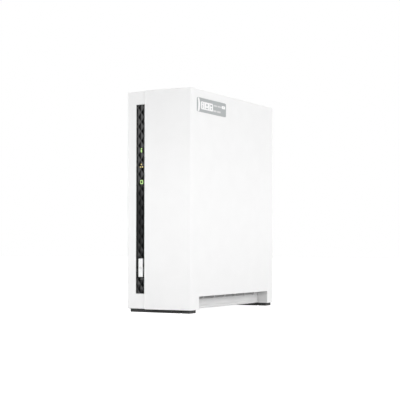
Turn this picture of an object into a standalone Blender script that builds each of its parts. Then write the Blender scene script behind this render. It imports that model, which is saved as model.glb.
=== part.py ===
"""Single-bay network attached storage: a white two-shell tower with one upright 3.5 inch drive.

Blender 4.5, metres, +Z up. The origin is on the table under the middle of the box.
+X is the right-hand side as seen from the front, and the front faces -Y.
Sizes below are in millimetres; MM turns them into metres.
"""

import math

import bmesh
import bpy
from mathutils import Matrix, Vector

MM = 0.001
GAP = 0.3                      # clearance between neighbouring pieces

# Outer box
HALF_WIDTH = 31.75
HALF_DEPTH = 78.25
HEIGHT = 188.7
BODY_BOTTOM = 2.8              # underside of both shells, above the feet
WALL = 2.2
CORNER_RADIUS = 1.8            # upright corners
EDGE_RADIUS = 0.6              # top and bottom edges
INNER_X = HALF_WIDTH - WALL
INNER_TOP = HEIGHT - WALL
FLOOR_TOP = BODY_BOTTOM + WALL

# The two shells meet at an upright seam; the cover's front is crowned and stands proud
SEAM_X = -12.7
HOUSING_EDGE_X = SEAM_X - GAP
HOUSING_FRONT_Y = -76.2
HOUSING_FRONT_WALL = 3.5
CROWN_CENTRE_X = -5.0
CROWN_RADIUS = 225.0
CROWN_STEPS = 12

# Air intake notches along the lower edge of both sides
NOTCH_FRONT_Y = -61.7
NOTCH_REAR_Y = 65.2
NOTCH_TOP = 13.9
NOTCH_WALL = 2.0
SKIRT_X = 22.0                 # outer face of the wall behind a notch
SKIRT_TOP = 15.6
SLOT_PITCH = 19.0
SLOT_COUNT = 6
SLOT_LENGTH = 17.6
SLOT_LOW, SLOT_HIGH = 10.9, 13.5

# Label film on the cover's side, set level into a pocket
LABEL_FRONT_Y, LABEL_REAR_Y = -65.2, -14.8
LABEL_LOW, LABEL_HIGH = 169.7, 181.8
LABEL_BACK_X = 31.55

# Feet: a bar under the floor and a pad under the cover at each end
FOOT_FRONT_Y = {"front": -74.1, "rear": 66.2}
FOOT_DEPTH = 10.5
FOOT_LEFT_X, FOOT_RIGHT_X = -29.2, 20.0
COVER_FOOT_RIGHT_X = 29.7

# Dark trim strip beside the seam, with the button and the indicators in it
STRIP_LEFT_X, STRIP_RIGHT_X = -22.0, HOUSING_EDGE_X - GAP
STRIP_LOW, STRIP_HIGH = 15.8, 177.2
STRIP_FRONT_Y, STRIP_BACK_Y = -75.9, -74.4
POCKET_FLOOR_Y = STRIP_BACK_Y + GAP
INDICATOR_X = -17.0
STATUS_Z, NETWORK_Z, DRIVE_Z = 138.6, 125.0, 110.95
BUTTON_LEFT_X, BUTTON_RIGHT_X = -19.9, -15.2
BUTTON_LOW, BUTTON_HIGH = 29.9, 45.5

# Boards
BOARD_LEFT_X, BOARD_X = -26.6, -25.0      # main board; parts sit on the +X face
PART_X = BOARD_X + GAP
BOARD_BOSSES = [(-60.0, 26.0), (-60.0, 112.0), (50.0, 26.0), (50.0, 112.0)]
FRONT_BOARD_Y, FRONT_BOARD_BACK_Y = -69.5, -68.3
FRONT_BOARD_BOSSES = [(-26.0, 30.0), (-26.0, 144.0)]
BOSS_RADIUS = 3.0
SCREW_RADIUS = 1.4
SCREW_HOLE_RADIUS = 1.8

# Rear panel and its connectors
PANEL_FRONT_Y, PANEL_Y = 75.75, 77.75
PANEL_RIGHT_X = 22.0
CONNECTOR_Y = 77.2
JACK_Z = 46.0
USB_Z = (67.25, 87.25)
POWER_Z = 28.75
RESET_X, RESET_Z = -21.9, 101.5
COVER_SCREW_X, COVER_SCREW_Z = 26.7, (34.0, 116.0)
LOCK_X, LOCK_Z = 14.0, 64.0

# Fan
FAN_X, FAN_Z = -3.6, 152.0
FAN_HALF = 25.0
FAN_FRONT_Y, FAN_BACK_Y = 60.5, 75.45
FAN_BORE = 23.0
FAN_HOLE_OFFSET = 20.0
BLADE_COUNT = 7
GRILLE_RADIUS = 22.0
GRILLE_PITCH = 5.4
GRILLE_HOLE_RADIUS = 2.45

# Drive: 26.1 x 101.6 x 147 mm, standing on its connector
DRIVE_LEFT_X, DRIVE_RIGHT_X = -4.5, 21.6
DRIVE_FRONT_Y, DRIVE_BACK_Y = -64.8, 36.8
DRIVE_LOW, DRIVE_HIGH = 27.0, 174.0
TUB_LEFT_X, TUB_RIGHT_X = -2.9, 20.3
TUB_FLOOR_X = 3.0
TUB_WALL = 2.5
SPINDLE_Y, SPINDLE_Z = -14.0, 122.5
PLATTER_RADIUS = 47.5
HUB_RADIUS = 12.5
PLATTER_X = 9.7
PLATTER_THICKNESS = 1.27
PIVOT_Y, PIVOT_Z = 6.0, 58.0
ARM_LENGTH = 50.0
ARM_PARKED = math.radians(154.2)          # from +Y towards +Z
ARM_X = (8.0, 11.9)
ARM_THICKNESS = 0.8
TRAY_LEFT_X, TRAY_RIGHT_X = -6.6, 12.0
TRAY_SCREW_X, TRAY_SCREW_Z = 1.85, (55.5, 157.0)
SHEET = 1.0
CAGE_LEFT_X, CAGE_RIGHT_X = -9.0, 19.4
CAGE_FRONT_Y, CAGE_BACK_Y = -70.2, 43.2
CAGE_LOW, CAGE_HIGH = 14.5, 176.0
CAGE_BOSSES = [(-4.0, -58.0), (15.0, -58.0), (-4.0, 32.0), (15.0, 32.0)]

TOWARDS = {
    "X": Matrix.Rotation(math.pi / 2, 4, "Y"),
    "Y": Matrix.Rotation(-math.pi / 2, 4, "X"),
    "Z": Matrix.Identity(4),
}


# ---------------------------------------------------------------- set-up

def clear_scene():
    for thing in list(bpy.data.objects):
        bpy.data.objects.remove(thing, do_unlink=True)


def new_collection(name):
    collection = bpy.data.collections.new(name)
    bpy.context.scene.collection.children.link(collection)
    return collection


clear_scene()
PARTS = new_collection("network_attached_storage")
CUTTERS = new_collection("cutters")


def finish(name, colour, roughness, metallic=0.0):
    """A plain Principled material."""
    material = bpy.data.materials.new(name)
    material.use_nodes = True
    shader = material.node_tree.nodes["Principled BSDF"]
    shader.inputs["Base Color"].default_value = (*colour, 1.0)
    shader.inputs["Roughness"].default_value = roughness
    shader.inputs["Metallic"].default_value = metallic
    return material


WHITE = ("white_plastic", (0.88, 0.88, 0.88), 0.45)
DARK_GLOSS = ("dark_gloss_plastic", (0.02, 0.02, 0.022), 0.2)
BLACK = ("black_plastic", (0.03, 0.03, 0.03), 0.5)
RUBBER = ("grey_rubber", (0.10, 0.10, 0.105), 0.8)
LENS_GREEN = ("green_lens", (0.35, 0.8, 0.2), 0.3)
LENS_AMBER = ("amber_lens", (0.95, 0.6, 0.15), 0.3)
LABEL_GREY = ("grey_label", (0.48, 0.49, 0.5), 0.5)
LABEL_PALE = ("pale_label", (0.8, 0.8, 0.78), 0.5)
GREEN_BOARD = ("green_laminate", (0.03, 0.16, 0.07), 0.4)
CHIP = ("black_package", (0.04, 0.04, 0.045), 0.55)
STEEL = ("zinc_steel", (0.6, 0.61, 0.62), 0.35, 1.0)
CAST = ("cast_aluminium", (0.55, 0.56, 0.57), 0.5, 1.0)
POLISHED = ("polished_alloy", (0.8, 0.8, 0.82), 0.08, 1.0)


# ---------------------------------------------------------------- shapes
# A shape is a function that adds one closed solid to a bmesh and returns its vertices.

def box(low, high):
    centre = (Vector(low) + Vector(high)) / 2
    size = Vector(high) - Vector(low)
    matrix = Matrix.Translation(centre) @ Matrix.Diagonal((*size, 1.0))
    return lambda bm: bmesh.ops.create_cube(bm, size=1.0, matrix=matrix)["verts"]


def rod(start, direction, length, radius, segments=20, end_radius=None):
    """A cylinder or cone from the centre of its first end, along one axis."""
    turn = TOWARDS[direction]
    middle = Vector(start) + turn @ Vector((0.0, 0.0, length / 2))
    far = radius if end_radius is None else end_radius
    return lambda bm: bmesh.ops.create_cone(
        bm, cap_ends=True, segments=segments, radius1=radius, radius2=far,
        depth=length, matrix=Matrix.Translation(middle) @ turn)["verts"]


def prism(outline, low, high, direction="Z"):
    """A filled outline, drawn on XY (or YZ for direction X), extruded from low to high."""
    def build(bm):
        curve = bpy.data.curves.new("outline", "CURVE")
        curve.dimensions = "2D"
        curve.fill_mode = "BOTH"
        curve.extrude = (high - low) / 2
        spline = curve.splines.new("POLY")
        spline.points.add(len(outline) - 1)
        for point, (across, up) in zip(spline.points, outline):
            point.co = (across, up, 0.0, 1.0)
        spline.use_cyclic_u = True
        holder = bpy.data.objects.new("outline", curve)
        bpy.context.scene.collection.objects.link(holder)
        graph = bpy.context.evaluated_depsgraph_get()
        mesh = bpy.data.meshes.new_from_object(holder.evaluated_get(graph))
        before = len(bm.verts)
        bm.from_mesh(mesh)
        bm.verts.ensure_lookup_table()
        added = bm.verts[before:]
        bmesh.ops.remove_doubles(bm, verts=added, dist=0.0001)
        bm.verts.ensure_lookup_table()
        added = bm.verts[before:]
        swing = Matrix.Identity(4)
        if direction == "X":
            swing = Matrix(((0, 0, 1, 0), (1, 0, 0, 0), (0, 1, 0, 0), (0, 0, 0, 1)))
        bmesh.ops.transform(bm, verts=added,
                            matrix=swing @ Matrix.Translation((0, 0, (low + high) / 2)))
        bpy.data.objects.remove(holder)
        bpy.data.curves.remove(curve)
        bpy.data.meshes.remove(mesh)
        return added
    return build


def moved(shape, matrix):
    def build(bm):
        added = shape(bm)
        bmesh.ops.transform(bm, verts=added, matrix=matrix)
        return added
    return build


def mesh_object(name, shapes, collection, origin=(0.0, 0.0, 0.0)):
    bm = bmesh.new()
    for shape in shapes:
        shape(bm)
    bmesh.ops.transform(bm, verts=bm.verts, matrix=Matrix.Translation(-Vector(origin)))
    bmesh.ops.scale(bm, verts=bm.verts, vec=(MM, MM, MM))
    bmesh.ops.recalc_face_normals(bm, faces=bm.faces)
    mesh = bpy.data.meshes.new(name)
    bm.to_mesh(mesh)
    bm.free()
    made = bpy.data.objects.new(name, mesh)
    made.location = Vector(origin) * MM
    collection.objects.link(made)
    return made


def combine(target, shapes, operation):
    """A Boolean modifier with these shapes, kept with the other cutters."""
    cutter = mesh_object(f"{target.name}_{operation.lower()}_{len(target.modifiers)}", shapes, CUTTERS)
    cutter.hide_render = True
    cutter.display_type = "WIRE"
    step = target.modifiers.new(operation.title(), "BOOLEAN")
    step.operation = operation
    step.solver = "EXACT"
    step.object = cutter
    return cutter


def piece(name, shape, look, fused=(), cuts=(), adds=(), edge=0.0, origin=(0, 0, 0), parent=None):
    """One node, one solid. fused and adds join the shape before and after the cuts.

    cuts is a list of groups, and the shapes in one group don't touch each other.
    """
    made = mesh_object(name, [shape], PARTS, origin)
    if edge:
        bevel = made.modifiers.new("Edges", "BEVEL")
        bevel.width = edge * MM
        bevel.segments = 2
        bevel.limit_method = "ANGLE"
        bevel.angle_limit = math.radians(50)
    for shape in fused:
        combine(made, [shape], "UNION")
    for group in cuts:
        combine(made, group, "DIFFERENCE")
    for shape in adds:
        combine(made, [shape], "UNION")
    made.data.shade_smooth()
    made.data.set_sharp_from_angle(angle=math.radians(35))
    made.data.materials.append(finish(f"{name}_{look[0]}", *look[1:]))
    if parent:
        bpy.context.view_layer.update()
        made.parent = parent
        made.matrix_parent_inverse = parent.matrix_world.inverted()
    return made


def screws(name, places, outward, head_height, head_radius, shank_length, parent=None):
    """Equal screws along Y, a node each; a place is the underside of a head, facing outward (1 or -1)."""
    for number, (x, y, z) in enumerate(places, 1):
        head_start = min(y, y + outward * head_height)
        shank_start = min(y + outward * head_height / 2, y - outward * shank_length)
        piece(f"{name}_{number}", rod((x, head_start, z), "Y", head_height, head_radius, 16), STEEL,
              fused=[rod((x, shank_start, z), "Y", shank_length + head_height / 2, SCREW_RADIUS, 12)],
              parent=parent)


def arc(centre, radius, start, end, steps):
    """Points of an arc, angles in degrees."""
    return [(centre[0] + radius * math.cos(math.radians(start + (end - start) * i / steps)),
             centre[1] + radius * math.sin(math.radians(start + (end - start) * i / steps)))
            for i in range(steps + 1)]


def rounded_rectangle(left, right, low, high, radius, steps=3):
    return (arc((right - radius, high - radius), radius, 0, 90, steps)
            + arc((left + radius, high - radius), radius, 90, 180, steps)
            + arc((left + radius, low + radius), radius, 180, 270, steps)
            + arc((right - radius, low + radius), radius, 270, 360, steps))


# ---------------------------------------------------------------- shells

def crown_y(x, inset=0.0):
    """Front face of the cover: a shallow arc that is furthest forward near the seam."""
    return inset - HALF_DEPTH + (x - CROWN_CENTRE_X) ** 2 / (2 * CROWN_RADIUS)


def cover_outline(left, right, rear, inset, corner):
    """Plan of the cover or its hollow: crowned front, straight side and rear."""
    last = right - corner
    front = [(left + (last - left) * i / CROWN_STEPS,
              crown_y(left + (last - left) * i / CROWN_STEPS, inset)) for i in range(CROWN_STEPS + 1)]
    corner_front = arc((last, crown_y(last, inset) + corner), corner, -82, 0, 3)
    corner_rear = arc((last, rear - corner), corner, 0, 90, 3)
    return front + corner_front + corner_rear + [(left, rear)]


def notch_keep(inner_x, side):
    """Solid kept inside the hollow for the ledge and end walls round one intake notch."""
    ends = sorted((side * inner_x, side * 40.0))
    return box((ends[0], NOTCH_FRONT_Y - NOTCH_WALL, -1.0),
               (ends[1], NOTCH_REAR_Y + NOTCH_WALL, NOTCH_TOP + NOTCH_WALL))


def notch_cut(inner_x, side):
    ends = sorted((side * inner_x, side * 40.0))
    return box((ends[0], NOTCH_FRONT_Y, -1.0), (ends[1], NOTCH_REAR_Y, NOTCH_TOP))


def intake_slots():
    middle = (NOTCH_FRONT_Y + NOTCH_REAR_Y) / 2
    first = middle - SLOT_PITCH * (SLOT_COUNT - 1) / 2
    return [box((-SKIRT_X - 1, first + SLOT_PITCH * i - SLOT_LENGTH / 2, SLOT_LOW),
                (SKIRT_X + 1, first + SLOT_PITCH * i + SLOT_LENGTH / 2, SLOT_HIGH))
            for i in range(SLOT_COUNT)]


def make_base_shell():
    """Left housing with the floor of the whole box, the wall behind the notch and the bosses."""
    left = -HALF_WIDTH
    outline = ([(HOUSING_EDGE_X, HOUSING_FRONT_Y), (HOUSING_EDGE_X, HALF_DEPTH)]
               + arc((left + CORNER_RADIUS, HALF_DEPTH - CORNER_RADIUS), CORNER_RADIUS, 90, 180, 3)
               + arc((left + CORNER_RADIUS, HOUSING_FRONT_Y + CORNER_RADIUS), CORNER_RADIUS, 180, 270, 3))
    shell = piece(
        "base_shell", prism(outline, BODY_BOTTOM, HEIGHT), WHITE, edge=EDGE_RADIUS,
        fused=[box((HOUSING_EDGE_X - 1, -72.6, BODY_BOTTOM), (SKIRT_X, HALF_DEPTH, FLOOR_TOP)),
               box((SKIRT_X - NOTCH_WALL, -72.6, BODY_BOTTOM), (SKIRT_X, PANEL_FRONT_Y - GAP, SKIRT_TOP))])
    hollow = combine(shell, [box((-INNER_X, HOUSING_FRONT_Y + HOUSING_FRONT_WALL, FLOOR_TOP),
                                 (SKIRT_X - NOTCH_WALL, HALF_DEPTH + 2, INNER_TOP))], "DIFFERENCE")
    combine(hollow, [notch_keep(SKIRT_X - NOTCH_WALL, -1)], "DIFFERENCE")
    combine(shell, intake_slots(), "DIFFERENCE")
    combine(shell, [box((STRIP_LEFT_X - GAP, -80, STRIP_LOW - GAP),
                        (HOUSING_EDGE_X + 1, POCKET_FLOOR_Y, STRIP_HIGH + GAP))], "DIFFERENCE")
    combine(shell, [box((-21.0, -75, 28.5), (-14.0, -72, 46.9)),
                    box((-20.0, -75, 106.0), (-14.0, -72, 143.5))], "DIFFERENCE")
    bosses = [rod((-INNER_X - 0.5, y, z), "X", BOARD_LEFT_X - GAP + INNER_X + 0.5, BOSS_RADIUS, 16)
              for y, z in BOARD_BOSSES]
    bosses += [rod((x, HOUSING_FRONT_Y + HOUSING_FRONT_WALL - 0.5, z), "Y", 3.1, BOSS_RADIUS, 16)
               for x, z in FRONT_BOARD_BOSSES]
    bosses += [rod((x, y, FLOOR_TOP - 0.5), "Z", CAGE_LOW - GAP - FLOOR_TOP + 0.5, BOSS_RADIUS, 16)
               for x, y in CAGE_BOSSES]
    combine(shell, bosses, "UNION")
    holes = [rod((-INNER_X + 0.3, y, z), "X", 4, SCREW_HOLE_RADIUS, 12) for y, z in BOARD_BOSSES]
    holes += [rod((x, -72.4, z), "Y", 4, SCREW_HOLE_RADIUS, 12) for x, z in FRONT_BOARD_BOSSES]
    holes += [rod((x, y, FLOOR_TOP + 0.3), "Z", 12, SCREW_HOLE_RADIUS, 12) for x, y in CAGE_BOSSES]
    combine(shell, holes, "DIFFERENCE")
    combine(shell, [notch_cut(SKIRT_X, -1)], "DIFFERENCE")
    return shell


def make_side_cover():
    """Right housing that lifts off sideways: crowned front, side, top strip and rear strip."""
    outline = cover_outline(SEAM_X, HALF_WIDTH, HALF_DEPTH, 0.0, CORNER_RADIUS)
    cover = piece("side_cover", prism(outline, BODY_BOTTOM, HEIGHT), WHITE, edge=EDGE_RADIUS,
                  origin=(HALF_WIDTH, 0, HEIGHT / 2))
    inner = cover_outline(SEAM_X - 5, INNER_X, HALF_DEPTH - WALL, WALL, 0.6)
    hollow = combine(cover, [prism(inner, FLOOR_TOP, INNER_TOP)], "DIFFERENCE")
    combine(hollow, [notch_keep(SKIRT_X + GAP, 1)], "DIFFERENCE")
    combine(cover, [notch_cut(SKIRT_X - 2, 1)], "DIFFERENCE")
    inner_edge = PANEL_RIGHT_X + GAP
    combine(cover, [box((SEAM_X - 5, -72.9, 0), (inner_edge, 74, FLOOR_TOP + 0.1)),
                    box((SEAM_X - 5, 75, 0), (inner_edge, 80, INNER_TOP))], "DIFFERENCE")
    pocket = box((LABEL_BACK_X - GAP, LABEL_FRONT_Y - GAP, LABEL_LOW - GAP),
                 (HALF_WIDTH + 1, LABEL_REAR_Y + GAP, LABEL_HIGH + GAP))
    combine(cover, [box((SEAM_X - 5, 73.5, 0), (inner_edge, 75.5, FLOOR_TOP + 0.1)), pocket], "DIFFERENCE")
    combine(cover, [rod((COVER_SCREW_X, 70, z), "Y", 12, SCREW_HOLE_RADIUS, 16)
                    for z in COVER_SCREW_Z], "DIFFERENCE")
    combine(cover, [rod((COVER_SCREW_X, 76.95, z), "Y", 4, 3.3, 20)
                    for z in COVER_SCREW_Z], "DIFFERENCE")
    return cover


def make_cover_fittings(cover):
    film = rounded_rectangle(LABEL_FRONT_Y, LABEL_REAR_Y, LABEL_LOW, LABEL_HIGH, 1.5)
    piece("side_label", prism(film, LABEL_BACK_X, HALF_WIDTH, "X"), LABEL_GREY, parent=cover)
    screws("cover_screw", [(COVER_SCREW_X, 77.25, z) for z in COVER_SCREW_Z], 1, 0.9, 2.8, 5.0,
           parent=cover)


def make_feet(cover):
    """A long bar under the floor and a short pad under the cover, at the front and at the rear."""
    for end, y in FOOT_FRONT_Y.items():
        low, high = (FOOT_LEFT_X, y, 0.0), (FOOT_RIGHT_X, y + FOOT_DEPTH, BODY_BOTTOM - GAP)
        piece(f"{end}_foot", box(low, high), RUBBER, edge=0.3)
        low, high = (SKIRT_X + GAP, y, 0.0), (COVER_FOOT_RIGHT_X, y + FOOT_DEPTH, BODY_BOTTOM - GAP)
        piece(f"cover_{end}_foot", box(low, high), RUBBER, edge=0.3, parent=cover)


# ---------------------------------------------------------------- front

def make_trim_strip():
    """Dark strip beside the seam, with openings for the button and the light guides."""
    icons = [box((INDICATOR_X - 0.95, -77, 136.2), (INDICATOR_X + 0.95, -74, 141.9)),
             box((INDICATOR_X - 2.05, -77, DRIVE_Z - 2.2), (INDICATOR_X + 2.05, -74, DRIVE_Z + 2.2)),
             box((BUTTON_LEFT_X - GAP, -77, BUTTON_LOW - GAP),
                 (BUTTON_RIGHT_X + GAP, -74, BUTTON_HIGH + GAP))]
    icons += [rod((x, -77, z), "Y", 3, 0.8, 12) for x, z in network_dots()]
    piece("trim_strip", box((STRIP_LEFT_X, STRIP_FRONT_Y, STRIP_LOW),
                            (STRIP_RIGHT_X, STRIP_BACK_Y, STRIP_HIGH)), DARK_GLOSS, cuts=[icons])


def network_dots():
    return [(INDICATOR_X, NETWORK_Z + 1.0), (INDICATOR_X - 1.0, NETWORK_Z - 0.7),
            (INDICATOR_X + 1.05, NETWORK_Z - 0.7)]


def light_guide(name, z_low, z_high, tips, look, cuts=()):
    """A block behind the strip whose tips reach through it to the front."""
    block = box((-19.6, POCKET_FLOOR_Y, z_low), (-14.4, -71.0, z_high))
    piece(name, block, look, fused=tips, cuts=cuts)


def make_light_guides():
    tip_front = STRIP_FRONT_Y + 0.05
    bar = box((INDICATOR_X - 0.65, tip_front, 136.5), (INDICATOR_X + 0.65, -74, 139.6))
    dot = rod((INDICATOR_X, tip_front, 140.9), "Y", 2, 0.65, 12)
    light_guide("status_lens", 134.0, 143.0, [bar, dot], LENS_GREEN)
    dots = [rod((x, tip_front, z), "Y", 2, 0.5, 12) for x, z in network_dots()]
    light_guide("network_lens", 121.0, 130.0, dots, LENS_AMBER)
    ring = prism(rounded_rectangle(-1.75, 1.75, -1.9, 1.9, 0.6), 0, 2)
    stand = Matrix.Translation((INDICATOR_X, tip_front + 2, DRIVE_Z)) @ Matrix.Rotation(math.pi / 2, 4, "X")
    centre = box((INDICATOR_X - 0.65, -77, DRIVE_Z - 0.8), (INDICATOR_X + 0.65, -75, DRIVE_Z + 0.8))
    light_guide("drive_lens", 107.0, 115.0, [moved(ring, stand)], LENS_GREEN, cuts=[[centre]])


def make_power_button():
    """White cap with a hidden flange that the strip holds back, and a plunger to the switch."""
    middle = ((BUTTON_LEFT_X + BUTTON_RIGHT_X) / 2, -76.3, (BUTTON_LOW + BUTTON_HIGH) / 2)
    piece("power_button", box((BUTTON_LEFT_X, -76.3, BUTTON_LOW), (BUTTON_RIGHT_X, -73.5, BUTTON_HIGH)),
          WHITE, edge=0.4, origin=middle,
          fused=[box((-20.7, POCKET_FLOOR_Y, 28.9), (-14.3, -72.9, 46.5)),
                 rod((middle[0], -73.5, middle[2]), "Y", 1.7, 1.2, 12)])


def make_front_board():
    piece("front_board", box((-28.0, FRONT_BOARD_Y, 24), (-14.6, FRONT_BOARD_BACK_Y, 150)), GREEN_BOARD,
          cuts=[[rod((x, -71, z), "Y", 4, SCREW_HOLE_RADIUS, 12) for x, z in FRONT_BOARD_BOSSES]])
    lamps = [box((-17.9, -70.6, z - 1), (-16.1, -69.95, z + 1)) for z in (STATUS_Z, NETWORK_Z, DRIVE_Z)]
    piece("status_lamps", box((-18.6, -70.1, DRIVE_Z - 4), (-15.4, FRONT_BOARD_Y - GAP, STATUS_Z + 4)),
          WHITE, fused=lamps)
    piece("power_switch", box((-20.5, -71.0, 34.7), (-14.7, FRONT_BOARD_Y - GAP, 40.7)), CHIP)


# ---------------------------------------------------------------- main board

def make_main_board():
    piece("main_board", box((BOARD_LEFT_X, -66, 20), (BOARD_X, 73.5, 118)), GREEN_BOARD,
          cuts=[[rod((-30, y, z), "X", 8, SCREW_HOLE_RADIUS, 12) for y, z in BOARD_BOSSES]])
    piece("processor", box((PART_X, -8, 62), (-23.3, 8, 78)), CHIP)
    grooves = [box((-21, -14 + 4 * i, 50), (-10, -12 + 4 * i, 90)) for i in range(8)]
    piece("heat_sink", box((-23.0, -16, 54), (-13.5, 18, 86)), CAST, cuts=[grooves])
    piece("memory_chip", box((PART_X, -36, 60), (-23.6, -24, 76)), CHIP)
    piece("coin_cell", rod((PART_X, -42, 96), "X", 4.2, 10.0, 24), STEEL)
    piece("fan_header", box((PART_X, 56, 104), (-18.7, 63, 110)), BLACK)
    piece("ribbon_header", box((PART_X, -17, 20.2), (-18.7, -3, 23.2)), BLACK)
    piece("front_header", box((PART_X, -68.0, 52), (-20.0, -60, 62)), BLACK)


def make_connectors():
    """Network jack, two USB sockets, power inlet and reset, all opening towards the rear."""
    jack = box((PART_X, 56.5, JACK_Z - 8), (-11.2, CONNECTOR_Y, JACK_Z + 8))
    mouth = box((-22.7, 64, JACK_Z - 5.9), (-14.5, 79, JACK_Z + 5.9))
    catch = box((-15, 64.5, JACK_Z - 3), (-12.6, 79, JACK_Z + 3))
    piece("network_jack", jack, STEEL, cuts=[[mouth], [catch]])
    for number, z in enumerate(USB_Z, 1):
        piece(f"usb_socket_{number}", box((PART_X, 63.5, z - 7.25), (-17.7, CONNECTOR_Y, z + 7.25)), STEEL,
              cuts=[[box((-23.8, 66, z - 6.3), (-18.6, 79, z + 6.3))]],
              adds=[box((-23.2, 65, z - 5.6), (-21.3, 76.5, z + 5.6))])
    piece("power_inlet", box((PART_X, 62, POWER_Z - 4.75), (-13.7, CONNECTOR_Y, POWER_Z + 4.75)), BLACK,
          cuts=[[rod((-19.2, 68, POWER_Z), "Y", 12, 3.0, 20)]],
          adds=[rod((-19.2, 67, POWER_Z), "Y", 9.5, 1.0, 12)])
    piece("reset_switch", box((PART_X, 66, RESET_Z - 3), (-19.2, 71.7, RESET_Z + 3)), CHIP)
    piece("reset_button", rod((RESET_X, 72.4, RESET_Z), "Y", 4.9, 1.0, 12), BLACK,
          fused=[rod((RESET_X, 73.9, RESET_Z), "Y", 1.3, 2.0, 16)], origin=(RESET_X, 77.3, RESET_Z))


# ---------------------------------------------------------------- rear

def grille_holes():
    """Hexagonal holes on a honeycomb inside the fan's circle."""
    holes = []
    rows = int(GRILLE_RADIUS / (GRILLE_PITCH * 0.866))
    for row in range(-rows, rows + 1):
        z = row * GRILLE_PITCH * 0.866
        shift = (row % 2) * GRILLE_PITCH / 2
        for column in range(-6, 7):
            x = column * GRILLE_PITCH + shift
            if math.hypot(x, z) < GRILLE_RADIUS - GRILLE_HOLE_RADIUS:
                holes.append(rod((FAN_X + x, 75, FAN_Z + z), "Y", 4, GRILLE_HOLE_RADIUS, 6))
    return holes


def fan_corners(y):
    return [(FAN_X + sx * FAN_HOLE_OFFSET, y, FAN_Z + sz * FAN_HOLE_OFFSET)
            for sx in (-1, 1) for sz in (-1, 1)]


def make_rear_panel():
    """Flat panel set into the shells: fan grille, port openings, lock slot and cover tabs."""
    tabs = []
    for z in COVER_SCREW_Z:
        tabs.append(box((17, 73.55, z - 6), (PANEL_RIGHT_X, 76.5, z + 6)))
        tabs.append(box((18, 73.55, z - 6), (29.0, PANEL_FRONT_Y - 0.05, z + 6)))
    panel = piece("rear_panel", box((-INNER_X + GAP, PANEL_FRONT_Y, FLOOR_TOP + GAP),
                                    (PANEL_RIGHT_X, PANEL_Y, INNER_TOP - GAP)), WHITE, fused=tabs)
    ports = [box((PART_X - GAP, 75, JACK_Z - 8.3), (-10.9, 79, JACK_Z + 8.3)),
             box((PART_X - GAP, 75, POWER_Z - 5.05), (-13.4, 79, POWER_Z + 5.05)),
             box((LOCK_X - 1.6, 75, LOCK_Z - 3.6), (LOCK_X + 1.6, 79, LOCK_Z + 3.6)),
             rod((RESET_X, 75, RESET_Z), "Y", 4, 1.3, 16)]
    ports += [box((PART_X - GAP, 75, z - 7.55), (-17.4, 79, z + 7.55)) for z in USB_Z]
    ports += [box((COVER_SCREW_X - 1.7, 72, z - 1.7), (31, 76, z + 1.7)) for z in COVER_SCREW_Z]
    ports += grille_holes() + [rod(place, "Y", 6, 1.9, 12) for place in fan_corners(74.0)]
    combine(panel, ports, "DIFFERENCE")
    combine(panel, [rod(place, "Y", 3, 3.2, 16) for place in fan_corners(76.75)], "DIFFERENCE")
    piece("lock_plate", box((LOCK_X - 6, 74.2, LOCK_Z - 8), (LOCK_X + 6, PANEL_FRONT_Y - GAP, LOCK_Z + 8)),
          STEEL, cuts=[[box((LOCK_X - 1.5, 73, LOCK_Z - 3.5), (LOCK_X + 1.5, 77, LOCK_Z + 3.5))]])
    screws("fan_screw", fan_corners(77.05), 1, 1.1, 2.9, 9.0)


def make_fan():
    hub = (FAN_X, FAN_FRONT_Y, FAN_Z)
    struts = []
    for i in range(3):
        strut = box((8, 0, -1.2), (FAN_BORE + 1.5, 2.0, 1.2))
        turn = Matrix.Translation(hub) @ Matrix.Rotation(math.radians(90 + 120 * i), 4, "Y")
        struts.append(moved(strut, turn))
    piece("fan_frame", box((FAN_X - FAN_HALF, FAN_FRONT_Y, FAN_Z - FAN_HALF),
                           (FAN_X + FAN_HALF, FAN_BACK_Y, FAN_Z + FAN_HALF)), BLACK, edge=1.0,
          cuts=[[rod((FAN_X, 58, FAN_Z), "Y", 20, FAN_BORE, 40)]
                + [rod(place, "Y", 20, 2.1, 12) for place in fan_corners(58.0)]],
          adds=[rod(hub, "Y", 2.0, 10.5, 24)] + struts)
    blades = []
    for i in range(BLADE_COUNT):
        blade = box((9.5, -0.7, -6.5), (22.0, 0.7, 6.5))
        pitch = Matrix.Rotation(math.radians(52), 4, "X")
        turn = Matrix.Rotation(2 * math.pi * i / BLADE_COUNT, 4, "Y")
        blades.append(moved(blade, Matrix.Translation((FAN_X, 68.6, FAN_Z)) @ turn @ pitch))
    piece("fan_rotor", rod((FAN_X, 62.9, FAN_Z), "Y", 11.5, 11.0, 28), BLACK, fused=blades,
          origin=(FAN_X, 68.6, FAN_Z))


def make_fan_cable():
    """Short lead from the header up to the fan's lower face."""
    ends = [Vector((-21.7, 59.5, 110.3)), Vector((-21.7, 64.5, 126.7))]
    curve = bpy.data.curves.new("fan_cable", "CURVE")
    curve.dimensions = "3D"
    curve.bevel_depth = 1.1 * MM
    curve.bevel_resolution = 2
    curve.use_fill_caps = True
    spline = curve.splines.new("POLY")
    count = 9
    spline.points.add(count - 1)
    for i, point in enumerate(spline.points):
        t = i / (count - 1)
        ease = t * t * (3 - 2 * t)
        bow = 2.0 * math.sin(math.pi * t) ** 2
        place = Vector((ends[0].x + bow, ends[0].y + (ends[1].y - ends[0].y) * ease,
                        ends[0].z + (ends[1].z - ends[0].z) * t))
        point.co = (*(place * MM), 1.0)
    cable = bpy.data.objects.new("fan_cable", curve)
    curve.materials.append(finish("fan_cable_black", *BLACK[1:]))
    PARTS.objects.link(cable)


# ---------------------------------------------------------------- drive and its cage

def round_holes(x, ys, zs, radius=5.0):
    return [rod((x - 2, y, z), "X", 4, radius, 12) for y in ys for z in zs]


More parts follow.
